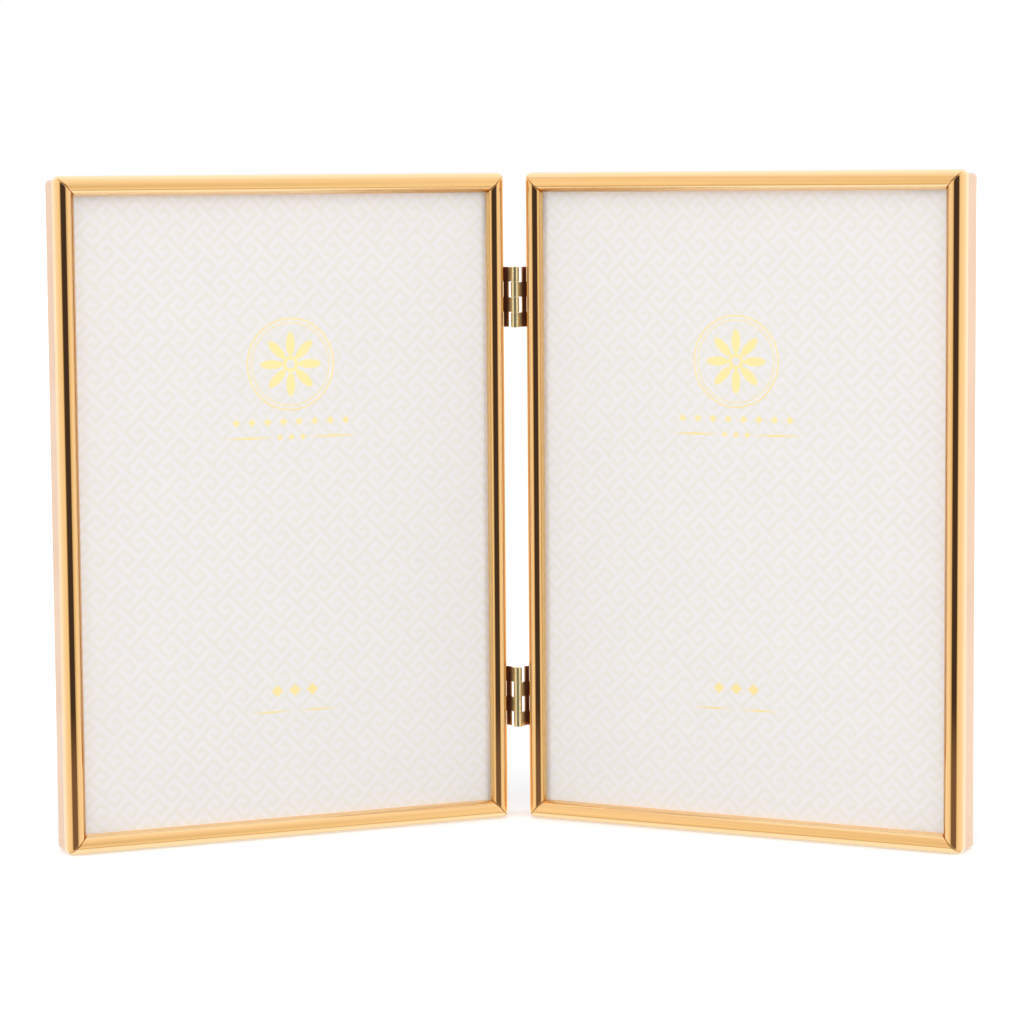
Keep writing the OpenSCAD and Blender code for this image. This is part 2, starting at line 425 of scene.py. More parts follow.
@dataclass(frozen=True)
class StampedMetal:
    """Small stamped or turned metal parts, with a fine grain up and down.

    Where a lighter colour is given, the metal turns to it near the hinge line, fading out over the
    given millimetres to either side: painted light on the knuckle side, with the base colour as
    painted shade in the recess beyond.
    """

    name: str
    colour: Colour
    gloss: float
    grain: float
    bare: float = 1.0
    painted_light_colour: Colour | None = None
    painted_light_fade: Pair = (1.2, 2.3)

    # How often the grain changes in a metre, and how many worn patches there are
    GRAIN = (2400.0, 2400.0, 260.0)
    PATCHES = 420.0
    # What wear leaves of the colour
    WORN = 0.86

    def build(self) -> bpy.types.Material:
        """Make the finish.

        Returns:
            Its material.
        """
        shader = Shader(self.name)
        grain = shader.noise(shader.place(self.GRAIN), 1.0, 2.0)
        wear = shader.noise(shader.place(), self.PATCHES, 3.0).ramp(0.45, 0.7)
        darker = tuple(part * self.WORN for part in self.colour)
        base = shader.blend(wear, self.colour, darker)
        # Painted light near the hinge line, fading to the darker base colour out in the recess
        if self.painted_light_colour:
            aside, _, _ = shader.parts(shader.place((1 / MM, 1 / MM, 1 / MM)))
            base = shader.blend(abs(aside).ramp(*self.painted_light_fade, 1.0, 0.0), base, self.painted_light_colour)
        return shader.finish(
            {
                "Base Color": base,
                "Metallic": self.bare,
                "Roughness": self.gloss + wear * 0.08 + grain * 0.04,
                "Normal": shader.bump(grain, self.grain),
            }
        )


@dataclass(frozen=True)
class FretCard:
    """Off-white card printed with a pale fret: bars, stems and two hooks that repeat."""

    name: str
    paper: Colour
    print_colour: Colour
    across: Triple
    start: Pair
    repeat: Pair = (8.15, 9.9)

    # Corners of the fret's lines, in widths of a line, along and across its bars
    LINES = (
        ((8, 2), (17, 2)),
        ((13, 2), (13, 7)),
        ((8, 2), (8, 6), (11, 6), (11, 4), (10, 4)),
        ((17, 2), (17, 5), (15, 5), (15, 4)),
    )
    # A piece of a line that is longer than this would reach into the next repeat
    LONGEST = 8
    # How many line widths the fret goes along and across its bars in one repeat, sideways and up
    STEP_SIDEWAYS = (5, 5)
    STEP_UP = (6, -6)
    # How often the paper's fibres change in a metre, how many patches of thin ink there are, how
    # much of the colour is left between fibres, and how deep the fibres are in metres
    FIBRES = (900.0, 900.0, 1500.0)
    PATCHES = 90.0
    SHADED = 0.975
    RELIEF = 0.000012

    def _line(self, sideways: Value, up: Value, first: Pair, last: Pair) -> Value:
        """Mask of one straight line of the fret, wherever it repeats.

        Args:
            sideways: Place in repeats to the right.
            up: Place in repeats upward.
            first: Corner at one end.
            last: Corner at the other end.

        Returns:
            One on the line, else nought.
        """
        middle = [(a + b) / 2 for a, b in zip(first, last)]
        reach = [(abs(a - b) + 1) / 2 for a, b in zip(first, last)]
        (sa, sb), (ua, ub) = self.STEP_SIDEWAYS, self.STEP_UP
        spread = sa * ub - sb * ua
        right = (sideways - (middle[0] * ub - middle[1] * ua) / spread).wrapped()
        high = (up - (middle[1] * sa - middle[0] * sb) / spread).wrapped()
        return (abs(right * sa + high * ua) < reach[0]) & (abs(right * sb + high * ub) < reach[1])

    def build(self) -> bpy.types.Material:
        """Make the finish.

        Returns:
            Its material.
        """
        shader = Shader(self.name)
        x, y, z = shader.parts(shader.place())
        by_x, by_y, shift = self.across
        sideways = (x * by_x + y * by_y + shift - self.start[0] * MM) / (self.repeat[0] * MM)
        up = (z - self.start[1] * MM) / (self.repeat[1] * MM)
        lines = None
        for corners in self.LINES:
            for first, last in self._pieces(corners):
                mask = self._line(sideways, up, first, last)
                lines = mask if lines is None else lines | mask
        fibres = shader.noise(shader.place(self.FIBRES), 1.0, 4.0)
        patchy = shader.noise(shader.place(), self.PATCHES, 2.0)
        inked = shader.blend(lines * (0.85 + 0.15 * patchy), self.paper, self.print_colour)
        shaded = tuple(part * self.SHADED for part in self.paper)
        return shader.finish(
            {
                "Base Color": shader.blend(fibres.ramp(0.5, 0.75, 0.0, 0.3), inked, shaded),
                "Roughness": 0.62 + 0.12 * fibres,
                "Specular IOR Level": 0.35,
                "Normal": shader.bump(fibres, self.RELIEF),
            }
        )

    def _pieces(self, corners: Sequence[Pair]) -> Iterable[tuple[Pair, Pair]]:
        """Take a line apart into straight pieces, with a long one cut in half.

        Args:
            corners: The line's corners.

        Returns:
            The corners at both ends of each piece.
        """
        for first, last in zip(corners, corners[1:]):
            if abs(first[0] - last[0]) > self.LONGEST:
                middle = ((first[0] + last[0] - 1) / 2, first[1])
                yield first, middle
                yield (middle[0] + 1, first[1]), last
            else:
                yield first, last


@dataclass(frozen=True)
class PrintedFoil:
    """Pale gold foil pressed on card, a little crinkled."""

    name: str
    colour: Colour

    # How many crinkles and thin places there are in a metre, and how deep they are in metres
    CRINKLES = 1400.0
    THIN = 300.0
    RELIEF = 0.000008

    def build(self) -> bpy.types.Material:
        """Make the finish.

        Returns:
            Its material.
        """
        shader = Shader(self.name)
        crinkle = shader.noise(shader.place(), self.CRINKLES, 3.0)
        thin = shader.noise(shader.place(), self.THIN, 2.0).ramp(0.55, 0.75)
        worn = tuple(part * 0.5 + 0.45 for part in self.colour)
        return shader.finish(
            {
                "Base Color": shader.blend(thin * 0.25, self.colour, worn),
                "Metallic": 0.85,
                "Roughness": 0.38 + crinkle * 0.15,
                "Normal": shader.bump(crinkle, self.RELIEF),
            }
        )


@dataclass(frozen=True)
class PressedBoard:
    """Board of pressed fibres: grey card or hardboard."""

    name: str
    light: Colour
    dark: Colour
    fibre: float

    # How deep the fibres are, in metres
    RELIEF = 0.00005

    def build(self) -> bpy.types.Material:
        """Make the finish.

        Returns:
            Its material.
        """
        shader = Shader(self.name)
        fibres = shader.noise(shader.place((1.0, 1.0, 0.4)), self.fibre, 6.0)
        specks = shader.noise(shader.place(), self.fibre * 3, 1.0).ramp(0.62, 0.72)
        mottled = shader.blend(fibres.ramp(0.35, 0.7), self.light, self.dark)
        return shader.finish(
            {
                "Base Color": shader.blend(specks * 0.4, mottled, self.dark),
                "Roughness": 0.75 + 0.15 * fibres,
                "Normal": shader.bump(fibres, self.RELIEF),
            }
        )


@dataclass(frozen=True)
class Velvet:
    """Short black pile, brushed a little to and fro."""

    name: str
    pile: Colour
    brushed: Colour

    # How many brushed patches and tufts there are in a metre, and how deep the pile is in metres
    BRUSHES = 70.0
    TUFTS = 2800.0
    RELIEF = 0.00012
    SHEEN = tone(210, 210, 225)

    def build(self) -> bpy.types.Material:
        """Make the finish.

        Returns:
            Its material.
        """
        shader = Shader(self.name)
        nap = shader.noise(shader.place((1.0, 1.0, 0.45)), self.BRUSHES, 3.0).ramp(0.4, 0.68)
        tufts = shader.noise(shader.place(), self.TUFTS, 2.0)
        return shader.finish(
            {
                "Base Color": shader.blend(nap * 0.7 + tufts * 0.3, self.pile, self.brushed),
                "Roughness": 0.85 + 0.1 * nap,
                "Specular IOR Level": 0.15,
                "Sheen Weight": 0.55,
                "Sheen Roughness": 0.35,
                "Sheen Tint": self.SHEEN,
                "Normal": shader.bump(tufts, self.RELIEF),
            }
        )


@dataclass(frozen=True)
class PaneGlass:
    """Clear float glass that lets the lamps through."""

    name: str
    tint: Colour

    # How many waves and smears there are in a metre, and how deep the waves are in metres
    WAVES = 14.0
    SMEARS = 60.0
    RELIEF = 0.00002

    def build(self) -> bpy.types.Material:
        """Make the finish.

        Returns:
            Its material.
        """
        shader = Shader(self.name)
        wave = shader.noise(shader.place(), self.WAVES, 1.0)
        smears = shader.noise(shader.place((1.0, 1.0, 0.5)), self.SMEARS, 4.0).ramp(0.5, 0.8)
        glass = shader.surface(
            {
                "Base Color": self.tint,
                "Roughness": smears * 0.012,
                "IOR": 1.5,
                "Transmission Weight": 1.0,
                "Normal": shader.bump(wave, self.RELIEF),
            }
        )
        clear = shader.node("ShaderNodeBsdfTransparent", None, {"Color": self.tint})
        shadow = shader.node("ShaderNodeLightPath").outputs["Is Shadow Ray"]
        both = {0: shadow, 1: glass.outputs[0], 2: clear.outputs[0]}
        return shader.output(shader.node("ShaderNodeMixShader", None, both))


class Finishes:
    """Every material of the object, made once."""

    GOLD = tone(255, 216, 166)
    # A painted shade that fades out past the end of any rail runs along the whole of it
    WHOLE_RAIL = (998.0, 999.0)

    def __init__(self, panels: Sequence["Panel"]) -> None:
        """Make the materials: each panel has its own card, because the print starts elsewhere.

        Args:
            panels: Both panels.
        """
        self.beads = {rail: self._bead(rail) for rail in Rail}
        self.wall = RolledPlate("satin_gold_wall", tone(236, 191, 152), 0.22, 0.08, 0.000004).build()
        self.insides_with_glow = {rail: self._inside(rail) for rail in Rail}
        self.brass = StampedMetal("pale_brass", tone(255, 245, 203), 0.1, 0.0000008, 0.9).build()
        # The leaf's plate: brass darkened as painted shade in the recess, with painted light near the
        # knuckles; its roughness is its own
        painted_light_colour = tone(255, 235, 170)
        self.plate = StampedMetal("dull_brass", tone(165, 104, 76), 0.3, 0.000004, 0.75, painted_light_colour).build()
        self.pin = StampedMetal("pin_brass", tone(226, 205, 150), 0.2, 0.000004).build()
        self.steel = StampedMetal("stamped_steel", tone(190, 190, 188), 0.3, 0.000006).build()
        self.foil = PrintedFoil("pale_gold_foil", tone(255, 234, 166)).build()
        self.glass = PaneGlass("clear_glass", tone(254, 255, 254)).build()
        self.filler = PressedBoard("grey_board", tone(204, 194, 178), tone(172, 160, 142), 500.0).build()
        self.board = PressedBoard("brown_hardboard", tone(142, 106, 74), tone(96, 66, 44), 350.0).build()
        self.velvet = Velvet("black_velvet", tone(19, 19, 22), tone(34, 34, 39)).build()
        self.cards = {panel.side: self._card(panel) for panel in panels}

    def _bead(self, rail: "Rail") -> bpy.types.Material:
        """Make the polished finish of one kind of bead, with painted shade along its sight edge for the
        darker gold that it mirrors.

        Args:
            rail: Which rail.

        Returns:
            The material.
        """
        # Each bead's painted shade: its colour, where it fades over the strip from the sight edge, and where
        # it fades along the rail
        painted_shade, ends, run = {
            Rail.OUTER: ((0.68, 0.48, 0.24), (2.2, 2.7), self.WHOLE_RAIL),
            Rail.HINGE: ((0.78, 0.74, 0.62), (1.3, 1.9), self.WHOLE_RAIL),
            Rail.TOP: ((0.7, 0.56, 0.36), (1.4, 2.6), (18.0, 65.0)),
            Rail.BOTTOM: ((0.97, 0.92, 0.78), (0.2, 0.5), (10.0, 60.0)),
        }[rail]
        return RolledPlate(f"gold_{rail.value}", self.GOLD, 0.035, 0.03, 0.0000008, painted_shade, ends, run).build()

    def _inside(self, rail: "Rail") -> bpy.types.Material:
        """Make the finish of one kind of rail's inside: it glows with painted bounce light, which stands for
        the light that the bead passes on to the card.

        Args:
            rail: Which rail.

        Returns:
            The material.
        """
        # How strongly each kind of rail's inside glows with painted bounce light
        share = {Rail.OUTER: 1.2, Rail.HINGE: 0.6}.get(rail, 1.25)
        bounce_glow_colour = tuple(share * part for part in tone(255, 232, 205))
        plate = RolledPlate(f"gold_inside_{rail.value}", self.GOLD, 0.3, 0.1, 0.000004, painted_bounce_glow=bounce_glow_colour)
        return plate.build()

    @staticmethod
    def _card(panel: "Panel") -> bpy.types.Material:
        """Make the printed card of one panel.

        Args:
            panel: The panel.

        Returns:
            The material.
        """
        name = f"{panel.word}_fret_card"
        start = {Side.LEFT: (0.08, 99.8), Side.RIGHT: (18.67, 100.2)}[panel.side]
        return FretCard(name, tone(246, 240, 243), tone(241, 236, 231), panel.across(), start).build()


# Meshes


class Mesh:
    """A mesh that is gathered from grids of points, in one panel's own millimetres."""

    def __init__(self, stand: Callable[[Sequence[float]], Vector]) -> None:
        """Start an empty mesh.

        Args:
            stand: The function that puts a point where it belongs, in metres.
        """
        self.stand = stand
        self.points: list[Vector] = []
        self.lengths: list[Pair] = []
        self.faces: list[tuple[int, ...]] = []
        self.slots: list[int] = []

    def add(self, point: Sequence[float], length: Pair = (0.0, 0.0)) -> int:
        """Add a point.

        Args:
            point: Its place, in millimetres.
            length: Its place on the lengthwise map, in millimetres.

        Returns:
            Its number.
        """
        self.points.append(self.stand(point))
        self.lengths.append(length)
        return len(self.points) - 1

    def face(self, corners: Sequence[int], slot: int = 0) -> None:
        """Add a face in a material slot."""
        self.faces.append(tuple(corners))
        self.slots.append(slot)

    def ring(self, radius: float, z: float, count: int) -> list[int]:
        """Add a circle of points, or a single one where there is no radius, and return their numbers."""
        angles = even_angles(count) if radius else [0.0]
        return [self.add((radius * math.cos(a), radius * math.sin(a), z)) for a in angles]

    def strip(self, first: Sequence[int], second: Sequence[int], slot: int = 0, closed: bool = False) -> None:
        """Join two rows of points with faces.

        Args:
            first: One row.
            second: The other, as long as the first.
            slot: The faces' material slot.
            closed: Whether the rows are rings.
        """
        count = len(first)
        for i in range(count if closed else count - 1):
            j = (i + 1) % count
            self.face((first[i], first[j], second[j], second[i]), slot)

    def build(
        self, name: str, materials: Sequence[bpy.types.Material], soft: float = 32.0
    ) -> bpy.types.Object:
        """Make the object, facing outward.

        Args:
            name: The object's name.
            materials: What its slots hold.
            soft: Bends sharper than this many degrees stay crisp.

        Returns:
            The object, linked to the scene.
        """
        mesh = bpy.data.meshes.new(name)
        mesh.from_pydata(self.points, [], self.faces)
        for material in materials:
            mesh.materials.append(material)
        mesh.polygons.foreach_set("material_index", self.slots)
        layer = mesh.uv_layers.new(name="along")
        for loop in mesh.loops:
            layer.data[loop.index].uv = [part * MM for part in self.lengths[loop.vertex_index]]
        return finished(mesh, name, soft)


def even_angles(count: int) -> list[float]:
    """Even angles round a circle."""
    return [2 * math.pi * i / count for i in range(count)]


def placed(name: str, data: Any) -> bpy.types.Object:
    """Make an object and link it to the scene.

    Args:
        name: Its name.
        data: Its mesh, lamp or camera.

    Returns:
        The object.
    """
    thing = bpy.data.objects.new(name, data)
    bpy.context.scene.collection.objects.link(thing)
    return thing


def declared(thing: bpy.types.Object, body: str, node: str = "") -> bpy.types.Object:
    """Attach a finished piece to the body that it rides on, and hide the solid that it stands for.

    Args:
        thing: The piece.
        body: The body that it rides on.
        node: The solid that it stands for, if any.

    Returns:
        The piece.
    """
    if node:
        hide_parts(node)
    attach(thing, body)
    log.info("made %s", thing.name)
    return thing


def finished(mesh: bpy.types.Mesh, name: str, soft: float = 32.0) -> bpy.types.Object:
    """Turn a closed mesh's faces outward, smooth it and link it to the scene.

    Args:
        mesh: The mesh, with its place in its points.
        name: The object's name.
        soft: Bends sharper than this many degrees stay crisp.

    Returns:
        The object.
    """
    work = bmesh.new()
    work.from_mesh(mesh)
    bmesh.ops.remove_doubles(work, verts=work.verts, dist=SAME_POINT)
    bmesh.ops.recalc_face_normals(work, faces=work.faces)
    work.to_mesh(mesh)
    work.free()
    mesh.shade_smooth()
    mesh.set_sharp_from_angle(angle=math.radians(soft))
    return placed(name, mesh)


def applied(thing: bpy.types.Object, name: str) -> bpy.types.Mesh:
    """Turn an object with modifiers into a plain mesh and remove the object.

    Args:
        thing: The object.
        name: The new mesh's name.

    Returns:
        The mesh.
    """
    graph = bpy.context.evaluated_depsgraph_get()
    mesh = bpy.data.meshes.new_from_object(thing.evaluated_get(graph))
    mesh.name = name
    bpy.data.objects.remove(thing, do_unlink=True)
    return mesh


def rounded(points: Sequence[Pair], radius: float, steps: int = 6) -> list[Pair]:
    """Round the inner corners of an open path.

    Args:
        points: The path's corners.
        radius: Radius of each bend.
        steps: Straight pieces in a bend.

    Returns:
        The path's points.
    """
    path = [Vector(points[0])]
    for before, corner, after in zip(points, points[1:], points[2:]):
        corner = Vector(corner)
        back, on = (Vector(before) - corner).normalized(), (Vector(after) - corner).normalized()
        half = math.acos(max(-1.0, min(1.0, back.dot(on)))) / 2
        reach = radius / math.tan(half)
        centre = corner + (back + on).normalized() * (radius / math.sin(half))
        start, end = corner + back * reach - centre, corner + on * reach - centre
        turn = start.angle_signed(end)
        for i in range(steps + 1):
            spun = start.copy()
            spun.rotate(Matrix.Rotation(-turn * i / steps, 2))
            path.append(centre + spun)
    path.append(Vector(points[-1]))
    return [tuple(point) for point in path]


# The panels


class Side(Enum):
    """Which panel a piece belongs to. The value is the way that the panel runs from the hinge."""

    LEFT = -1
    RIGHT = 1


class Rail(Enum):
    """The four rails of a panel."""

    TOP = "top_rail"
    BOTTOM = "bottom_rail"
    OUTER = "outer_rail"
    HINGE = "hinge_rail"


@dataclass(frozen=True)
class Panel:
    """Sizes of a panel and its place. They are those of the solids."""

    side: Side
    hinge_y: float
    width: float = 131.0
    height: float = 184.0
    turned: float = 25.6
    half_gap: float = 2.15
    axis_ahead: float = 0.3
    card_depth: float = 4.5
    board_depth: float = 7.4
    button_depth: float = 11.0

    @property
    def word(self) -> str:
        """The side's name."""
        return self.side.name.lower()

    @property
    def body(self) -> str:
        """The body that the panel's pieces ride on."""
        return f"{self.word}_panel"

    @property
    def middle(self) -> float:
        """Distance from the hinge line to the panel's middle."""
        return self.half_gap + self.width / 2

    def stand(self, point: Sequence[float]) -> Vector:
        """Turn a point of the flat panel to where it stands.

        Args:
            point: Its place beside the hinge line, in millimetres.

        Returns:
            Its place in the room, in metres.
        """
        x, y, z = point
        cosine, sine = math.cos(math.radians(self.turned)), math.sin(math.radians(self.turned))
        across = self.side.value * (x * cosine + y * sine)
        return Vector((across, self.hinge_y - x * sine + y * cosine, z)) * MM

    def across(self) -> Triple:
        """Say how far to the right along the front a place in the room is.

        Returns:
            Factors of its x and y, and metres to add.
        """
        cosine, sine = math.cos(math.radians(self.turned)), math.sin(math.radians(self.turned))
        way = self.side.value
        return (cosine, -way * sine, way * self.hinge_y * MM * sine)

    def facing(
        self, x: float, depth: float, z: float, back: bool = False
    ) -> Callable[[Sequence[float]], Vector]:
        """Make a function that lays out a flat design on the panel.

        Args:
            x: Middle of the design, from the hinge line.
            depth: Its depth behind the crown.
            z: Its height.
            back: Whether it faces the back of the panel, and not the front.

        Returns:
            A function from the design's right, up and outward millimetres to a place in metres.
        """
        way = -self.side.value if back else self.side.value
        out = 1.0 if back else -1.0

        def lay(point: Sequence[float]) -> Vector:
            """Place one point of the design."""
            right, up, outward = point
            return self.stand((x + way * right, self.axis_ahead + depth + out * outward, z + up))

        return lay


@dataclass(frozen=True)
class SectionPoint:
    """One station round a rail's section: inward distance and depth, outside and inside."""

    outside: Pair
    inside: Pair
    length: float
    normal: Pair
    on_bead: bool


@dataclass(frozen=True)
class RailSection:
    """The rolled strip's section: a bead of two quarter ovals, a side wall and a lip."""

    face_w: float = 5.5
    crown_in: float = 2.7
    sight_depth: float = 2.4
    round_depth: float = 3.3
    foot_w: float = 1.5
    wall_inset: float = 0.6
    strip: float = 0.5
    lip_w: float = 1.0
    depth: float = 12.7
    foot_bend: float = 0.3
    step_bend: float = 0.12
    lip_bend: float = 0.45
    crown_flat: float = 0.22
    inner_r: float = 2.3
    flank_from: float = 45.0
    flank_to: float = 70.0
    steps: int = 32
    bend_steps: int = 5

    def _quarter(self, middle_depth: float, across: float, deep: float, outward: bool) -> list[Pair]:
        """Draw a quarter oval that starts or ends at the crown.

        Args:
            middle_depth: Depth of its middle.
            across: Its reach inward from the crown, less than nothing where it goes outward.
            deep: Its reach in depth.
            outward: Whether it starts at the crown, and doesn't end there.

        Returns:
            Its points.
        """
        points = []
        for i in range(self.steps + 1):
            angle = math.pi / 2 * i / self.steps
            points.append((self.crown_in + across * math.sin(angle), middle_depth - deep * math.cos(angle)))
        return points if outward else points[::-1]

    def _flank(self) -> list[Pair]:
        """Draw the inner half of the bead: a round crown and a straighter flank to the sight edge.

        Returns:
            Its points, from the sight edge to the crown.
        """
        r = self.inner_r
        turned = [math.radians(self.flank_from * i / self.steps) for i in range(self.steps + 1)]
        points = [(self.crown_flat + r * math.sin(a), r * (1 - math.cos(a))) for a in turned]
        start, end = points[-1], (self.face_w - self.crown_in, self.sight_depth)
        first, last = math.radians(self.flank_from), math.radians(self.flank_to)
        # two tangents meet between the flank's ends: their lengths come from the chord
        dx, dz = end[0] - start[0], end[1] - start[1]
        spread = math.sin(last - first)
        one = (dx * math.sin(last) - dz * math.cos(last)) / spread
        meet = (start[0] + one * math.cos(first), start[1] + one * math.sin(first))
        for i in range(1, self.steps + 1):
            t = i / self.steps
            points.append(tuple(
                (1 - t) ** 2 * a + 2 * t * (1 - t) * b + t ** 2 * c for a, b, c in zip(start, meet, end)
            ))
        return [(self.crown_in + x, z) for x, z in reversed(points)]

    def points(self) -> list[SectionPoint]:
        """Walk from the sight edge over the crown to the lip.

        Returns:
            The section's stations.
        """
        t, bead_depth = self.strip, self.round_depth + self.foot_w
        sight = self.face_w - self.crown_in
        outside = self._flank()
        under = self._quarter(self.sight_depth, sight - t, self.sight_depth - t, False)
        inside = [under[min(i // 2, self.steps)] for i in range(len(outside))]
        outside += self._quarter(self.round_depth, -self.crown_in, self.round_depth, True)
        inside += self._quarter(self.round_depth, t - self.crown_in, self.round_depth - t, True)
        bead_end = len(outside)
        bends = (
            ((self.foot_bend, bead_depth - self.foot_bend), self.foot_bend, 180, 90, (t, bead_depth - t)),
            ((self.wall_inset - self.step_bend, bead_depth + self.step_bend), self.step_bend, -90, 0, None),
            ((self.wall_inset + self.lip_bend, self.depth - self.lip_bend), self.lip_bend, 180, 90,
             (self.wall_inset + t, self.depth - t)),
        )
        for (s, d), radius, start, end, corner in bends:
            for i in range(self.bend_steps + 1):
                angle = math.radians(start + (end - start) * i / self.bend_steps)
                ray = (math.cos(angle), math.sin(angle))
                outside.append((s + radius * ray[0], d + radius * ray[1]))
                inside.append(corner or (s + (radius + t) * ray[0], d + (radius + t) * ray[1]))
        lip_end = self.wall_inset + t + self.lip_w
        outside.append((lip_end, self.depth))
        inside.append((lip_end, self.depth - t))
        return self._stations(outside, inside, bead_end)

    @staticmethod
    def _stations(outside: list[Pair], inside: list[Pair], bead_end: int) -> list[SectionPoint]:
        """Add each station's length along the strip and its outward normal.

        Args:
            outside: Points of the outer skin.
            inside: Points of the inner skin.
            bead_end: How many of them belong to the bead.

        Returns:
            The stations.
        """
        stations, length = [], 0.0
        for i, (out, into) in enumerate(zip(outside, inside)):
            before, after = outside[max(i - 1, 0)], outside[min(i + 1, len(outside) - 1)]
            length += math.dist(before, out) if i else 0.0
            way = Vector((after[0] - before[0], after[1] - before[1])).normalized()
            stations.append(SectionPoint(out, into, length, (-way.y, way.x), i < bead_end))
        return stations


@dataclass(frozen=True)
class RailMaker:
    """Makes a rail: the section drawn out between two mitres with softened edges.

    The rings of points at bend_at, in millimetres past a softened edge, follow the bent corner.
    """

    panel: Panel
    section: RailSection
    seam: float = 0.05
    soft_edge: float = 0.28
    edge_turns: tuple[float, ...] = (0.0, 25.0, 50.0, 75.0, 90.0)
    open_from: float = 0.2
    open_at: float = 1.0
    shut: float = 0.04
    corner_r: float = 1.9
    bend_at: tuple[float, ...] = (0.35, 0.6, 0.85, 1.1, 1.35, 1.6)
    wall_drop: float = 0.5

    def _round(self, s: float, t: float) -> Pair:
        """Round the corner of the panel's outline.

        Args:
            s: Distance from the rail's outer side.
            t: Distance from the rail's end.

        Returns:
            Both distances once the corner is bent to an arc.
        """
        reach = self.corner_r - s
        if t >= self.corner_r or reach <= 0:
            return s, t
        angle = math.pi / 4 * (self.corner_r - t) / reach
        return self.corner_r - reach * math.cos(angle), self.corner_r - reach * math.sin(angle)

    def _put(self, rail: Rail) -> Callable[[Sequence[float]], Vector]:
        """Make a function that places the points of one rail.

        Args:
            rail: Which rail.

        Returns:
            A function from inward distance, depth and length along the rail to a place in metres.
        """
        panel = self.panel
        total = self._total(rail)
        bead_depth = self.section.round_depth + self.section.foot_w

        def put(point: Sequence[float]) -> Vector:
            """Place one point. The side wall sits a little lower than the bead.

            Args:
                point: Its inward distance, depth and length along the rail.

            Returns:
                Its place in metres.
            """
            s, depth, t = point
            if t < total / 2:
                s, t = self._round(s, t)
            else:
                s, t = self._round(s, total - t)
                t = total - t
            y = panel.axis_ahead + depth
            low = self.wall_drop * min(max((depth - bead_depth) / self.section.step_bend, 0.0), 1.0)
            places = {
                Rail.HINGE: (panel.half_gap + s, y, t - low),
                Rail.OUTER: (panel.half_gap + panel.width - s, y, t - low),
                Rail.TOP: (panel.half_gap + t, y, panel.height - s - low),
                Rail.BOTTOM: (panel.half_gap + t, y, s - low),
            }
            return panel.stand(places[rail])

        return put

    def _total(self, rail: Rail) -> float:
        """Length of a rail."""
        return self.panel.height if rail in (Rail.HINGE, Rail.OUTER) else self.panel.width

    def build(self, rail: Rail, materials: Sequence[bpy.types.Material]) -> bpy.types.Object:
        """Make one rail.

        Args:
            rail: Which rail.
            materials: The finishes of the bead, the wall and the inside, which glows with painted bounce
                light.

        Returns:
            The rail, standing for its solid.
        """
        total = self._total(rail)
        stations = self.section.points()
        mesh = Mesh(self._put(rail))
        rings = []
        bend = [math.radians(turn) for turn in self.edge_turns]
        edge = [(self.soft_edge * (1 - math.sin(a)), self.soft_edge * (1 - math.cos(a))) for a in bend]
        edge += [(0.0, self.soft_edge + step) for step in self.bend_at]
        for end, steps in ((0, edge), (1, edge[::-1])):
            for under, out in steps:
                rings.append([self._station(mesh, one, total, end, under, out) for one in stations])
        inner = [[self._inner(mesh, one, total, end) for one in stations] for end in (0, 1)]
        for first, second in zip(rings, rings[1:]):
            self._skin(mesh, first, second, stations)
        mesh.strip(inner[0], inner[1], 2)
        mesh.strip(rings[0], inner[0], 1)
        mesh.strip(rings[-1], inner[1], 1)
        for k in (0, -1):
            rim = [ring[k] for ring in rings]
            mesh.face([inner[0][k], *rim, inner[1][k]], 0 if k == 0 else 1)
        name = f"{self.panel.word}_{rail.value}"
        thing = mesh.build(f"{name}_plate", materials)
        return declared(thing, self.panel.body, name)

    def _station(
        self, mesh: Mesh, one: SectionPoint, total: float, end: int, under: float, out: float
    ) -> int:
        """Add one outside point near an end.

        Args:
            mesh: The rail's mesh.
            one: The station.
            total: The rail's length.
            end: Which end, 0 or 1.
            under: Distance under the skin.
            out: Distance from the seam.

        Returns:
            The point's number.
        """
        gap = self._gape(one)
        s = one.outside[0] - one.normal[0] * under * gap
        depth = one.outside[1] - one.normal[1] * under * gap
        beyond = max(out - self.soft_edge, 0.0)
        from_end = max(s, 0.0) + (self.seam + out - beyond) * gap + beyond
        t = total - from_end if end else from_end
        return mesh.add((s, depth, t), (t, one.length))

    def _gape(self, one: SectionPoint) -> float:
        """How far the mitre is open: it shows on the front and closes round the outside."""
        share = min(max((one.outside[0] - self.open_from) / (self.open_at - self.open_from), 0.0), 1.0)
        return self.shut + (1.0 - self.shut) * (share if one.on_bead else 0.0)

    def _inner(self, mesh: Mesh, one: SectionPoint, total: float, end: int) -> int:
        """Add one inside point at an end.

        Args:
            mesh: The rail's mesh.
            one: The station.
            total: The rail's length.
            end: Which end, 0 or 1.

        Returns:
            The point's number.
        """
        s, depth = one.inside
        gap = self.seam * self._gape(one)
        t = total - s - gap if end else s + gap
        return mesh.add((s, depth, t), (t, one.length))

    @staticmethod
    def _skin(mesh: Mesh, first: list[int], second: list[int], stations: list[SectionPoint]) -> None:
        """Join two rings of the outside skin: the bead in one slot and the wall in the other.

        Args:
            mesh: The rail's mesh.
            first: One ring.
            second: The next.
            stations: The section that both follow.
        """
        for i in range(len(first) - 1):
            slot = 0 if stations[i].on_bead else 1
            mesh.face((first[i], first[i + 1], second[i + 1], second[i]), slot)


# Printed ornaments, made by geometry nodes


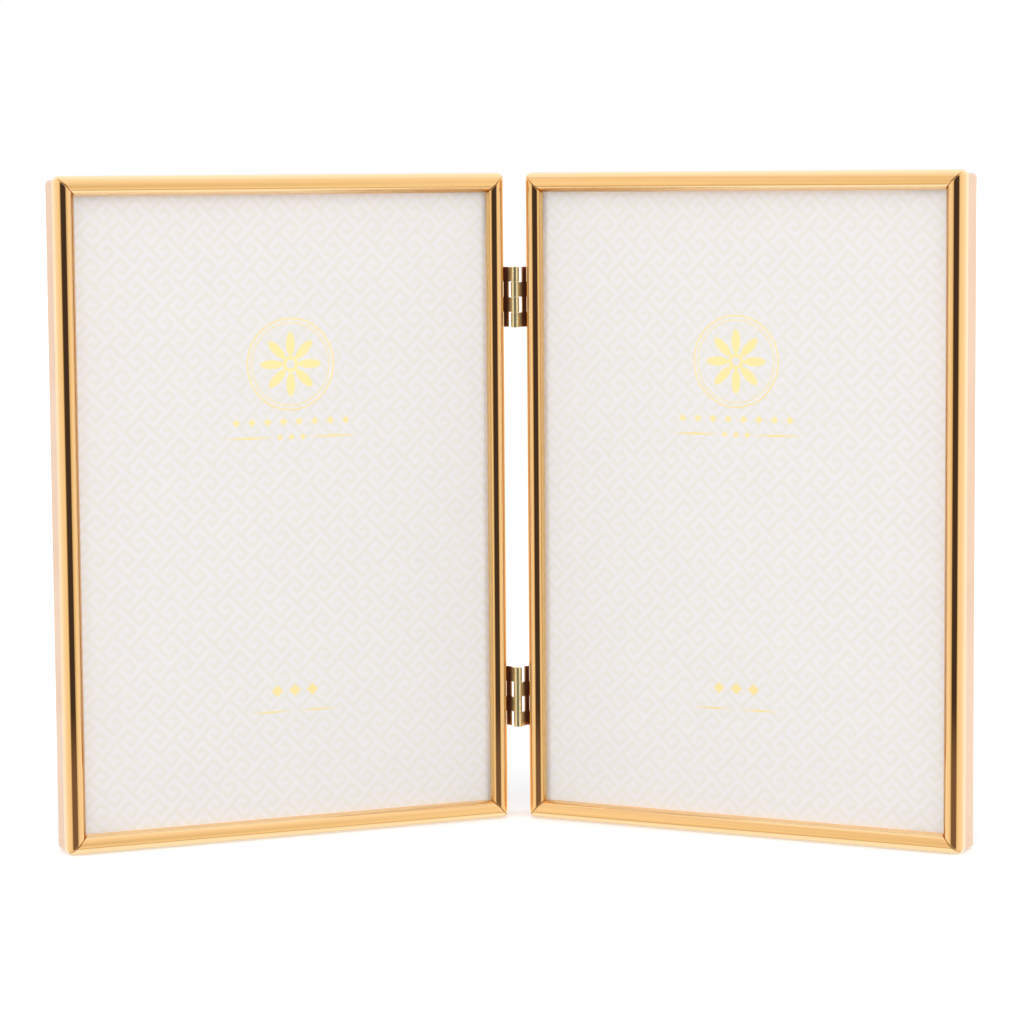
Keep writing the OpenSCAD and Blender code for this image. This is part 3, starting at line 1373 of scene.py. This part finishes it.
class Recipe(Tree):
    """A geometry tree with named inputs, run once to give a plain mesh of foil."""

    # Points closer than this share of the foil's thickness are one
    MERGED = 0.05

    def __init__(self, name: str, inputs: dict[str, float]) -> None:
        """Make the group and its inputs: those given, the foil's thickness and its material.

        Args:
            name: The group's name.
            inputs: Names of its sizes and counts, with usual values.
        """
        self.group = bpy.data.node_groups.new(name, "GeometryNodeTree")
        super().__init__(self.group)
        face = self.group.interface
        face.new_socket("Geometry", in_out="OUTPUT", socket_type="NodeSocketGeometry")
        self.keys: dict[str, str] = {}
        for label, default in {**inputs, "Foil": 0.02}.items():
            kind = "NodeSocketInt" if isinstance(default, int) else "NodeSocketFloat"
            socket = face.new_socket(label, in_out="INPUT", socket_type=kind)
            socket.default_value = default
            self.keys[label] = socket.identifier
        material = face.new_socket("Material", in_out="INPUT", socket_type="NodeSocketMaterial")
        self.keys["Material"] = material.identifier
        self.given = self.node("NodeGroupInput").outputs

    def size(self, label: str) -> Value:
        """One of the named inputs, for arithmetic."""
        return self.value(self.given[label])

    def vector(self, x: Any, y: Any = 0.0, z: Any = 0.0) -> bpy.types.NodeSocket:
        """Make a vector of three parts."""
        return self.node("ShaderNodeCombineXYZ", None, {0: x, 1: y, 2: z}).outputs[0]

    def shape(self, sides: int) -> bpy.types.NodeSocket:
        """Make a flat shape, as long as the input Length and as wide as the input Width.

        Args:
            sides: How many even sides it has before it is stretched.

        Returns:
            The shape.
        """
        even = self.node("GeometryNodeMeshCircle", {"fill_type": "NGON"}, {"Vertices": sides, "Radius": 0.5})
        scale = self.vector(self.given["Length"], self.given["Width"], 1.0)
        inputs = {"Geometry": even.outputs[0], "Scale": scale}
        return self.node("GeometryNodeTransform", None, inputs).outputs[0]

    def finish(self, flat: bpy.types.NodeSocket) -> "Recipe":
        """End the tree: flat faces get the foil's thickness, a closed back and the material.

        Args:
            flat: The flat faces.

        Returns:
            The tree.
        """
        real = self.node("GeometryNodeRealizeInstances", None, {0: flat}).outputs[0]
        foil = self.size("Foil")
        normal = self.node("GeometryNodeInputNormal").outputs[0]
        inputs = {"Mesh": real, "Offset": normal, "Offset Scale": foil, "Individual": False}
        raised = self.node("GeometryNodeExtrudeMesh", None, inputs)
        under = self.node("GeometryNodeFlipFaces", None, {0: real})
        both = self.node("GeometryNodeJoinGeometry")
        for part in (raised, under):
            self.nodes.links.new(part.outputs[0], both.inputs[0])
        inputs = {0: both.outputs[0], "Distance": foil * self.MERGED}
        closed = self.node("GeometryNodeMergeByDistance", None, inputs)
        plate = self.node("GeometryNodeRealizeInstances", None, {0: closed.outputs[0]})
        inputs = {0: plate.outputs[0], "Material": self.given["Material"]}
        dressed = self.node("GeometryNodeSetMaterial", None, inputs)
        self.node("NodeGroupOutput", None, {0: dressed.outputs[0]})
        return self

    def run(self, name: str, values: dict[str, float], material: bpy.types.Material) -> bpy.types.Mesh:
        """Run the tree.

        Args:
            name: Name of the mesh.
            values: The named inputs.
            material: What the mesh is made of.

        Returns:
            A plain mesh in the tree's own units.
        """
        thing = placed(name, bpy.data.meshes.new(name))
        modifier = thing.modifiers.new(name, "NODES")
        modifier.node_group = self.group
        for label, number in {**values, "Material": material}.items():
            modifier[self.keys[label]] = number
        return applied(thing, name)


@dataclass(frozen=True)
class FoilOrnament:
    """A generic flower in two rings, with rules and lozenges, pressed in foil on a card."""

    panel: Panel
    shift: float = -1.5
    foil: float = 0.015
    above_card: float = 0.01
    flower_z: float = 131.8
    ring_r: float = 12.6
    ring_w: float = 0.42
    inner_ring_r: float = 11.4
    inner_ring_w: float = 0.252
    eye_r: float = 1.75
    eye_w: float = 1.0
    petals: int = 8
    petal_r: float = 5.6
    petal_length: float = 6.6
    petal_width: float = 2.5

    # Points round a ring, a petal and a lozenge
    RING_POINTS = 128
    PETAL_POINTS = 28
    LOZENGE_POINTS = 4
    # Rows of lozenges: height on the panel, how many, distance from one to the next, length, width
    ROWS = (
        (115.9, 8, 4.6, 2.2, 2.2),
        (111.6, 2, 24.4, 15.0, 0.7),
        (111.6, 3, 3.4, 1.8, 1.8),
        (40.9, 3, 5.2, 3.4, 3.4),
        (35.1, 2, 14.0, 12.5, 0.6),
    )

    def _ring(self) -> Recipe:
        """Make the recipe of a flat ring: Radius is its middle line's.

        Returns:
            The recipe.
        """
        tree = Recipe("foil_ring", {"Radius": 10.0, "Width": 0.5})
        half = tree.size("Width") * 0.5
        inputs = {"Resolution": self.RING_POINTS, "Radius": tree.given["Radius"]}
        path = tree.node("GeometryNodeCurvePrimitiveCircle", None, inputs)
        ends = {"Start": tree.vector(half), "End": tree.vector(half * -1.0)}
        band = tree.node("GeometryNodeCurvePrimitiveLine", None, ends)
        flat = tree.node("GeometryNodeCurveToMesh", None, {0: path.outputs[0], 1: band.outputs[0]})
        return tree.finish(flat.outputs[0])

    def _petals(self) -> Recipe:
        """Make the recipe of flat ovals round a circle, each pointing outward.

        Returns:
            The recipe.
        """
        tree = Recipe("foil_petals", {"Count": 8, "Radius": 6.0, "Length": 6.0, "Width": 2.5})
        inputs = {"Vertices": tree.given["Count"], "Radius": tree.given["Radius"]}
        circle = tree.node("GeometryNodeMeshCircle", None, inputs)
        place = tree.node("GeometryNodeInputPosition").outputs[0]
        ways = {"axis": "X", "pivot_axis": "Z"}
        turn = tree.node("FunctionNodeAlignRotationToVector", ways, {"Vector": place})
        petal = tree.shape(self.PETAL_POINTS)
        inputs = {"Points": circle.outputs[0], "Instance": petal, "Rotation": turn.outputs[0]}
        return tree.finish(tree.node("GeometryNodeInstanceOnPoints", None, inputs).outputs[0])

    def _lozenges(self) -> Recipe:
        """Make the recipe of a row of lozenges along X, centred.

        Returns:
            The recipe.
        """
        tree = Recipe("foil_lozenges", {"Count": 3, "Spacing": 4.0, "Length": 2.0, "Width": 1.6})
        step = tree.size("Spacing")
        start = (tree.size("Count") - 1.0) * step * -0.5
        ends = {"Start Location": tree.vector(start), "Offset": tree.vector(step)}
        row = tree.node("GeometryNodeMeshLine", None, {"Count": tree.given["Count"], **ends})
        inputs = {"Points": row.outputs[0], "Instance": tree.shape(self.LOZENGE_POINTS)}
        return tree.finish(tree.node("GeometryNodeInstanceOnPoints", None, inputs).outputs[0])

    def build(self, foil: bpy.types.Material) -> bpy.types.Object:
        """Make the whole ornament of one card.

        Args:
            foil: The foil's finish.

        Returns:
            The ornament, riding with its panel.
        """
        ring, petals, lozenges = self._ring(), self._petals(), self._lozenges()
        flower = {"Count": self.petals, "Radius": self.petal_r, "Length": self.petal_length}
        parts = [
            (self.flower_z, ring, {"Radius": self.ring_r, "Width": self.ring_w}),
            (self.flower_z, ring, {"Radius": self.inner_ring_r, "Width": self.inner_ring_w}),
            (self.flower_z, ring, {"Radius": self.eye_r, "Width": self.eye_w}),
            (self.flower_z, petals, {**flower, "Width": self.petal_width}),
        ]
        for z, count, spacing, length, width in self.ROWS:
            row = {"Count": count, "Spacing": spacing, "Length": length, "Width": width}
            parts.append((z, lozenges, row))
        whole = bmesh.new()
        for z, recipe, sizes in parts:
            mesh = recipe.run("foil_part", {**sizes, "Foil": self.foil}, foil)
            depth = self.panel.card_depth - self.above_card
            lay = self.panel.facing(self.panel.middle + self.shift, depth, z)
            for vertex in mesh.vertices:
                vertex.co = lay(vertex.co)
            whole.from_mesh(mesh)
            bpy.data.meshes.remove(mesh)
        mesh = bpy.data.meshes.new("foil")
        whole.to_mesh(mesh)
        whole.free()
        mesh.materials.append(foil)
        thing = finished(mesh, f"{self.panel.word}_foil_ornament")
        return declared(thing, self.panel.body)


# The back


@dataclass(frozen=True)
class BackCover:
    """The velvet cover: a shell with rounded edges, drawn over the board and open in front."""

    panel: Panel
    inset: float = 2.3
    cloth: float = 0.5
    board_t: float = 3.0
    bend: float = 0.9
    crisp: float = 40.0

    def build(self, velvet: bpy.types.Material) -> bpy.types.Object:
        """Make the cover.

        Args:
            velvet: The cloth's finish.

        Returns:
            The cover, standing for its solid.
        """
        width = self.panel.width - 2 * self.inset
        height = self.panel.height - 2 * self.inset
        work = bmesh.new()
        bmesh.ops.create_cube(work, size=1.0)
        deep = self.board_t + self.cloth
        for vertex in work.verts:
            vertex.co = (vertex.co.x * width, vertex.co.y * height, (vertex.co.z + 0.5) * deep)
        back = [edge for edge in work.edges if any(v.co.z > deep / 2 for v in edge.verts)]
        bmesh.ops.bevel(work, geom=back, offset=self.bend, segments=6, profile=0.5, affect="EDGES")
        front = [face for face in work.faces if face.normal.z < -0.9]
        bmesh.ops.delete(work, geom=front, context="FACES_ONLY")
        mesh = bpy.data.meshes.new("cover")
        work.to_mesh(mesh)
        work.free()
        mesh.materials.append(velvet)
        sheet = placed("cover", mesh)
        wall = sheet.modifiers.new("cloth", "SOLIDIFY")
        wall.thickness, wall.offset, wall.use_even_offset = self.cloth, -1.0, True
        shell = applied(sheet, "cover")
        lay = self.panel.facing(self.panel.middle, self.panel.board_depth, self.panel.height / 2, back=True)
        for vertex in shell.vertices:
            vertex.co = lay(vertex.co)
        thing = finished(shell, f"{self.panel.word}_velvet_back", self.crisp)
        return declared(thing, self.panel.body, f"{self.panel.word}_velvet_cover")


@dataclass(frozen=True)
class Fasteners:
    """The turn buttons and rivets on the back of one panel."""

    panel: Panel
    button_t: float = 0.8
    button_w: float = 7.0
    reach: float = 9.0
    soft: float = 0.18
    rivet_in: float = 10.5
    rivet_d: float = 2.0
    play: float = 0.05
    head_d: float = 4.4
    head_t: float = 0.5
    head_gap: float = 0.1
    dome: float = 0.25
    tail_d: float = 3.6
    tail_t: float = 0.4
    tail_gap: float = 0.05
    button_points: int = 96
    rivet_points: int = 48

    def button(self, outer: bool, brass: bpy.types.Material) -> bpy.types.Object:
        """Make one turn button: a stamped tab with softened edges and a hole.

        Args:
            outer: Whether it is the one farther from the hinges.
            brass: Its finish.

        Returns:
            The button, riding on its own body.
        """
        panel, r, t, soft = self.panel, self.button_w / 2, self.button_t, self.soft
        x = panel.half_gap + (panel.width - self.rivet_in if outer else self.rivet_in)
        # the tab points away from the panel's middle, and this design's right runs towards the hinge
        way = -1.0 if outer else 1.0
        way *= 1.0 if panel.side is Side.RIGHT else -1.0
        mesh = Mesh(panel.facing(x, panel.button_depth, panel.height / 2, back=True))
        turns = [math.radians(turn) for turn in (90, 60, 30, 0)]
        edge = [(soft * (math.cos(turn) - 1), soft * (1 - math.sin(turn))) for turn in turns]
        rims = [(out, t - down) for out, down in edge] + [(out, down) for out, down in reversed(edge)]
        rows = [mesh.ring(self.rivet_d / 2 + self.play, z, self.button_points) for z in (0.0, t)]
        for out, z in rims:
            rows.append([mesh.add((*self._rim(a, r + out, way), z)) for a in even_angles(self.button_points)])
        for first, second in zip(rows, rows[1:] + rows[:1]):
            mesh.strip(first, second, closed=True)
        name = f"{panel.word}_{'outer' if outer else 'inner'}"
        thing = mesh.build(f"{name}_button_tab", [brass])
        return declared(thing, f"{name}_button", f"{name}_turn_button")

    def _rim(self, angle: float, radius: float, way: float) -> Pair:
        """Find a point of the tab's outline: two half circles joined by straight sides.

        Args:
            angle: Its turn round the tab.
            radius: The half circles' radius.
            way: Which way the tab points, 1 or -1.

        Returns:
            The point.
        """
        x = radius * math.cos(angle)
        if x * way > 0:
            x += way * (self.reach - self.button_w / 2)
        return x, radius * math.sin(angle)

    def rivets(self, brass: bpy.types.Material) -> bpy.types.Object:
        """Make both rivets: low round heads on their shanks, with the flared tails.

        Args:
            brass: Their finish.

        Returns:
            The rivets, standing for their solid.
        """
        panel = self.panel
        board = panel.board_depth + self.tail_gap
        head = panel.button_depth + self.button_t + self.head_gap - board
        head_r, shank_r, tail_r = self.head_d / 2, self.rivet_d / 2, self.tail_d / 2
        ball = (head_r ** 2 + self.dome ** 2) / (2 * self.dome)
        radii = [head_r * i / 8 for i in range(9)]
        outline = [(r, head + self.head_t - ball + math.sqrt(ball ** 2 - r ** 2)) for r in radii]
        outline += [(head_r, head), (shank_r, head), (shank_r, self.tail_t), (tail_r, self.tail_t)]
        outline += [(tail_r, 0.0), (0.0, 0.0)]
        whole = Mesh(panel.stand)
        for x in (self.rivet_in, panel.width - self.rivet_in):
            whole.stand = panel.facing(panel.half_gap + x, board, panel.height / 2, back=True)
            rows = [whole.ring(r, z, self.rivet_points) for r, z in outline]
            for first, second in zip(rows, rows[1:]):
                self._join(whole, first, second)
        thing = whole.build(f"{panel.word}_rivet_pair", [brass])
        return declared(thing, panel.body, f"{panel.word}_button_rivets")

    @staticmethod
    def _join(mesh: Mesh, first: list[int], second: list[int]) -> None:
        """Join two rings, either of which may be a single point.

        Args:
            mesh: Their mesh.
            first: One ring.
            second: The other.
        """
        if len(first) == 1 or len(second) == 1:
            tip, ring = (first[0], second) if len(first) == 1 else (second[0], first)
            for i in range(len(ring)):
                mesh.face((tip, ring[i], ring[(i + 1) % len(ring)]))
        else:
            mesh.strip(first, second, closed=True)


# The hinges


@dataclass(frozen=True)
class HingeLeaf:
    """A leaf bent from sheet: its fingers are curled round the pin, with a seam at the back."""

    panel: Panel
    middle_z: float
    first: int
    height: float = 17.0
    knuckles: int = 4
    gap: float = 0.15
    sheet: float = 0.5
    mid_r: float = 0.95
    seat_x: float = 2.5
    seat_y: float = 7.2
    seat_w: float = 3.6
    bend_in: float = 3.2
    notch: float = 2.6
    bend_r: float = 0.7
    curl: float = 298.0
    curl_steps: int = 44
    soft: float = 0.05
    sharp: float = 50.0
    end_cut: float = 0.2

    def _path(self) -> tuple[list[Pair], int]:
        """The leaf's middle line from the seat to the end of the curl.

        Returns:
            Its points, and how many of them lie behind the notches.
        """
        corners = [(self.seat_x, self.seat_y + self.seat_w), (self.seat_x, self.seat_y),
                   (self.mid_r, self.bend_in), (self.mid_r, self.notch)]
        plate = rounded(corners[:-1] + [(self.mid_r, 0.0)], self.bend_r)[:-1]
        plate = [point for point in plate if point[1] > self.notch] + [(self.mid_r, self.notch)]
        curled = []
        for i in range(self.curl_steps + 1):
            angle = -math.radians(self.curl * i / self.curl_steps)
            curled.append((self.mid_r * math.cos(angle), self.mid_r * math.sin(angle)))
        return plate + curled, len(plate)

    def _bands(self) -> list[tuple[float, float, bool]]:
        """Cut the leaf's height into bands.

        Returns:
            Each band's lower and upper height, from the bottom up, and whether a finger is there.
        """
        tall = (self.height - (self.knuckles - 1) * self.gap) / self.knuckles
        top = self.middle_z + self.height / 2
        bands, below = [], self.middle_z - self.height / 2
        for i in reversed(range(self.first, self.knuckles, 2)):
            low = top - i * (tall + self.gap) - tall
            bands += self._even(below, low, False) + self._even(low, low + tall, True)
            below = low + tall
        return bands + self._even(below, top, False)

    def _even(self, low: float, high: float, finger: bool) -> list[tuple[float, float, bool]]:
        """Cut one band near its ends, so that only the ends are shaded round.

        Args:
            low: Its lower height.
            high: Its upper height.
            finger: Whether a finger is there.

        Returns:
            Its pieces, or none where it has no height.
        """
        if high < low + 1e-6:
            return []
        cuts = (low, low + self.end_cut, high - self.end_cut, high)
        return [(start, end, finger) for start, end in zip(cuts, cuts[1:])]

    def build(self, name: str, finishes: Sequence[bpy.types.Material]) -> bpy.types.Object:
        """Make the leaf.

        Args:
            name: Its node's name.
            finishes: The knuckles' finish and the plate's, which is darkened as painted shade.

        Returns:
            The leaf, standing for its solid.
        """
        path, plate = self._path()
        bands = self._bands()
        levels = [bands[0][0]] + [band[1] for band in bands]
        flat = Mesh(lambda point: Vector(point))
        rows = [[flat.add((x, y, z)) for z in levels] for x, y in path]
        for k in range(len(rows) - 1):
            for j, (_, _, finger) in enumerate(bands):
                if finger or k < plate - 1:
                    corners = (rows[k][j], rows[k][j + 1], rows[k + 1][j + 1], rows[k + 1][j])
                    flat.face(corners, 0 if k >= plate else 1)
        sheet = flat.build("leaf", finishes, 180.0)
        loose = bmesh.new()
        loose.from_mesh(sheet.data)
        bmesh.ops.delete(loose, geom=[v for v in loose.verts if not v.link_faces], context="VERTS")
        loose.to_mesh(sheet.data)
        loose.free()
        wall = sheet.modifiers.new("sheet", "SOLIDIFY")
        wall.thickness, wall.offset, wall.use_even_offset = self.sheet, 0.0, True
        edge = sheet.modifiers.new("edge", "BEVEL")
        edge.width, edge.segments = self.soft, 2
        edge.limit_method, edge.angle_limit = "ANGLE", math.radians(self.sharp)
        solid = applied(sheet, name)
        for vertex in solid.vertices:
            vertex.co = self.panel.stand(vertex.co)
        return declared(finished(solid, f"{name}_bent"), self.panel.body, name)


# The whole object


class Frame:
    """The double frame: it makes its pieces and dresses the solids that stay."""

    # Height of the middle of each hinge
    HINGES = {"upper": 149.0, "lower": 35.0}

    def __init__(self, loaded: dict) -> None:
        """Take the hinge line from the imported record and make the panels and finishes.

        Args:
            loaded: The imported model.
        """
        self.nodes = loaded["nodes"]
        hinge = next(joint for joint in loaded["joints"] if joint["name"] == "panel_hinge")
        self.panels = [Panel(side, hinge["pos_m"][1] / MM) for side in Side]
        self.finishes = Finishes(self.panels)

    def dress(self, name: str, material: bpy.types.Material) -> None:
        """Give a solid that stays its finish.

        Args:
            name: Its node's name.
            material: The finish.
        """
        for slot in self.nodes[name].material_slots:
            slot.material = material
        log.info("dressed %s", name)

    def build(self) -> None:
        """Make and dress everything."""
        finishes = self.finishes
        for panel in self.panels:
            rails = RailMaker(panel, RailSection())
            for rail in Rail:
                rails.build(rail, [finishes.beads[rail], finishes.wall, finishes.insides_with_glow[rail]])
            FoilOrnament(panel).build(finishes.foil)
            BackCover(panel).build(finishes.velvet)
            fasteners = Fasteners(panel)
            fasteners.rivets(finishes.brass)
            for outer in (True, False):
                fasteners.button(outer, finishes.brass)
            stays = {
                "corner_keys": finishes.steel,
                "glass": finishes.glass,
                "insert_card": finishes.cards[panel.side],
                "filler_card": finishes.filler,
                "back_board": finishes.board,
            }
            for node, material in stays.items():
                self.dress(f"{panel.word}_{node}", material)
            first = 0 if panel.side is Side.LEFT else 1
            for level, z in self.HINGES.items():
                leaf = HingeLeaf(panel, z, first)
                leaf.build(f"{level}_{panel.word}_leaf", [finishes.brass, finishes.plate])
        for level in self.HINGES:
            self.dress(f"{level}_hinge_pin", finishes.pin)


# The studio


@dataclass(frozen=True)
class Studio:
    """A pale table in a white tent that is open towards the camera."""

    camera_place: Triple = (0.029962, -0.957364, 0.183975)
    yaw: float = -1.8275
    pitch: float = 5.5876
    roll: float = -0.4336
    lens: float = 121.969
    table_size: float = 80.0
    day: float = 0.9
    tent_tilt: float = 18.0

    # What polished metal mirrors of the tent, by degrees from the side that it is open to
    DOOR = (
        (0, (0.062, 0.052, 0.07)),
        (30, (0.068, 0.055, 0.062)),
        (34, (0.28, 0.22, 0.19)),
        (38, (0.73, 0.68, 0.65)),
        (44, (0.87, 0.85, 0.83)),
        (52, (1.0, 1.0, 1.0)),
        (160, (1.0, 1.0, 1.0)),
        (171, (0.52, 0.52, 0.52)),
        (180, (0.48, 0.48, 0.48)),
    )
    # And of its walls, by degrees from an axis that tent_tilt turns down from there
    WALLS = (
        (0, (0.9, 0.82, 0.58)),
        (29, (0.9, 0.82, 0.58)),
        (38, (0.93, 0.85, 0.62)),
        (48, (0.98, 0.9, 0.68)),
        (64, (0.97, 0.87, 0.68)),
        (78, (0.98, 0.92, 0.77)),
        (92, (1.0, 0.98, 0.88)),
        (107, (1.02, 1.06, 1.04)),
        (124, (1.1, 1.17, 1.22)),
        (147, (1.15, 1.22, 1.3)),
    )
    WHITE = (1.0, 1.0, 1.0)
    BLACK = (0.0, 0.0, 0.0)
    # A darker flap of the tent on the left, the dark hem round its foot and the table under it
    FLAP = (0.93, 0.88, 0.82)
    HEM = (0.71, 0.57, 0.36)
    NEAR_TABLE = (1.03, 1.12, 1.12)
    FAR_TABLE = (0.2, 0.135, 0.1)
    # How far aside or down a ray points, from 0 to 1, where each of them begins and the flap ends
    FLAP_BEGINS = (0.5, 0.58)
    FLAP_ENDS = (0.67, 0.74)
    HEM_BEGINS = (0.59, 0.66)
    NEAR_BEGINS = (0.73, 0.83)
    FAR_BEGINS = (0.14, 0.175)

    def camera(self) -> None:
        """Make the camera at the photograph's viewing angle."""
        data = bpy.data.cameras.new("camera")
        data.lens, data.sensor_width = self.lens, 36.0
        data.clip_start, data.clip_end = 0.05, 50.0
        yaw, pitch, roll = (math.radians(angle) for angle in (self.yaw, self.pitch, self.roll))
        level = Vector((math.sin(yaw), math.cos(yaw), 0.0))
        across = Vector((math.cos(yaw), -math.sin(yaw), 0.0))
        ahead = math.cos(pitch) * level - math.sin(pitch) * Vector((0, 0, 1))
        above = math.sin(pitch) * level + math.cos(pitch) * Vector((0, 0, 1))
        right = math.cos(roll) * across + math.sin(roll) * above
        up = math.cos(roll) * above - math.sin(roll) * across
        thing = placed("camera", data)
        turned = Matrix((right, up, -ahead)).transposed().to_4x4()
        thing.matrix_world = Matrix.Translation(self.camera_place) @ turned
        bpy.context.scene.camera = thing

    @staticmethod
    def _stops(colours: Sequence[tuple[float, Colour]]) -> list[tuple[float, Colour]]:
        """Turn degrees from an axis into places in a ramp that runs with their cosine."""
        return [((1 - math.cos(math.radians(angle))) / 2, colour) for angle, colour in colours]

    def tent(self) -> None:
        """Make the world: even daylight, white to the eye, and a tent for what is mirrored."""
        world = bpy.data.worlds.new("tent")
        bpy.context.scene.world = world
        world.use_nodes = True
        tree = Tree(world.node_tree)
        across, depth, height = tree.parts(tree.node("ShaderNodeTexCoord").outputs["Generated"])
        left, below = 0.0 - across, 0.0 - height
        tilt = math.radians(self.tent_tilt)
        away = (1.0 + depth) * 0.5
        over = (1.0 + depth * math.cos(tilt) + height * math.sin(tilt)) * 0.5
        door, walls = self._stops(self.DOOR), self._stops(self.WALLS)
        opening = tree.node("ShaderNodeValToRGB", {"stops": door}, {"Fac": away}).outputs[0]
        canvas = tree.node("ShaderNodeValToRGB", {"stops": walls}, {"Fac": over}).outputs[0]
        flap = left.ramp(*self.FLAP_BEGINS) & left.ramp(*self.FLAP_ENDS, 1.0, 0.0)
        flapped = tree.vectors("MULTIPLY", canvas, tree.blend(flap, self.WHITE, self.FLAP))
        hung = tree.vectors("MULTIPLY", opening, flapped)
        hemmed = tree.blend(below.ramp(*self.HEM_BEGINS), hung, self.HEM)
        near = tree.blend(below.ramp(*self.NEAR_BEGINS), hemmed, self.NEAR_TABLE)
        far = tree.blend(below.ramp(*self.FAR_BEGINS), self.BLACK, self.FAR_TABLE)
        mirrored = tree.vectors("MAXIMUM", near, far)
        path = tree.node("ShaderNodeLightPath").outputs
        seen = tree.value(path["Is Camera Ray"]) | tree.value(path["Is Transmission Ray"])
        day = (self.day, self.day, self.day * 1.01)
        lit = tree.blend(tree.value(path["Is Glossy Ray"]), day, mirrored)
        colour = tree.blend(seen, lit, self.WHITE)
        background = tree.node("ShaderNodeBackground", None, {"Color": colour, "Strength": 1.0})
        tree.node("ShaderNodeOutputWorld", None, {"Surface": background.outputs[0]})

    def lamp(self, name: str, azimuth: float, height: float, strength: float, spread: float) -> None:
        """Make one wide soft lamp.

        Args:
            name: Its name.
            azimuth: Where it stands, in degrees to the right of the camera side.
            height: Degrees above the table.
            strength: Its strength.
            spread: Its width in degrees, seen from the object.
        """
        data = bpy.data.lights.new(name, "SUN")
        data.energy, data.angle = strength, math.radians(spread)
        thing = placed(name, data)
        side, lift = math.radians(azimuth), math.radians(height)
        towards = Vector((math.sin(side) * math.cos(lift), -math.cos(side) * math.cos(lift), math.sin(lift)))
        thing.rotation_mode = "QUATERNION"
        thing.rotation_quaternion = towards.to_track_quat("Z", "Y")
        thing.visible_glossy = False

    def table(self) -> None:
        """Make the pale table top."""
        half = self.table_size / 2
        corners = [(-half, -half, 0), (half, -half, 0), (half, half, 0), (-half, half, 0)]
        mesh = bpy.data.meshes.new("table_top")
        mesh.from_pydata(corners, [], [(0, 1, 2, 3)])
        shader = Shader("pale_table")
        grain = shader.noise(shader.place(), 30.0, 3.0)
        plain = shader.surface(
            {
                "Base Color": shader.blend(grain * 0.2, tone(243, 243, 243), tone(240, 240, 240)),
                "Roughness": 0.9,
                "Specular IOR Level": 0.0,
            }
        )
        seen = shader.value(shader.node("ShaderNodeLightPath").outputs["Is Camera Ray"])
        glow = shader.node("ShaderNodeEmission", None, {"Color": self.WHITE, "Strength": seen * 0.2})
        both = shader.node("ShaderNodeAddShader", None, {0: plain.outputs[0], 1: glow.outputs[0]})
        mesh.materials.append(shader.output(both))
        top = placed("table_top", mesh)
        top.visible_glossy = False
        top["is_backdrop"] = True

    def build(self) -> None:
        """Make the camera, the light and the table."""
        bpy.context.scene.view_settings.view_transform = "Standard"
        self.camera()
        self.tent()
        self.lamp("key_lamp", -30.0, 24.0, 1.15, 80.0)
        self.lamp("fill_lamp", 34.0, 22.0, 1.13, 80.0)
        self.table()


def corners(box: tuple[Vector, Vector]) -> list[list[float]]:
    """A box as plain lists."""
    return [list(corner) for corner in box]


def main() -> None:
    """Load the solids, build their looks and the studio, and work out the boxes of both."""
    logging.basicConfig(level=logging.INFO, format="%(name)s: %(message)s")
    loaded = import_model()
    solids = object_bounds()
    Frame(loaded).build()
    Studio().build()
    {"solids": corners(solids), "looks": corners(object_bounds())}


if __name__ == "__main__":
    main()
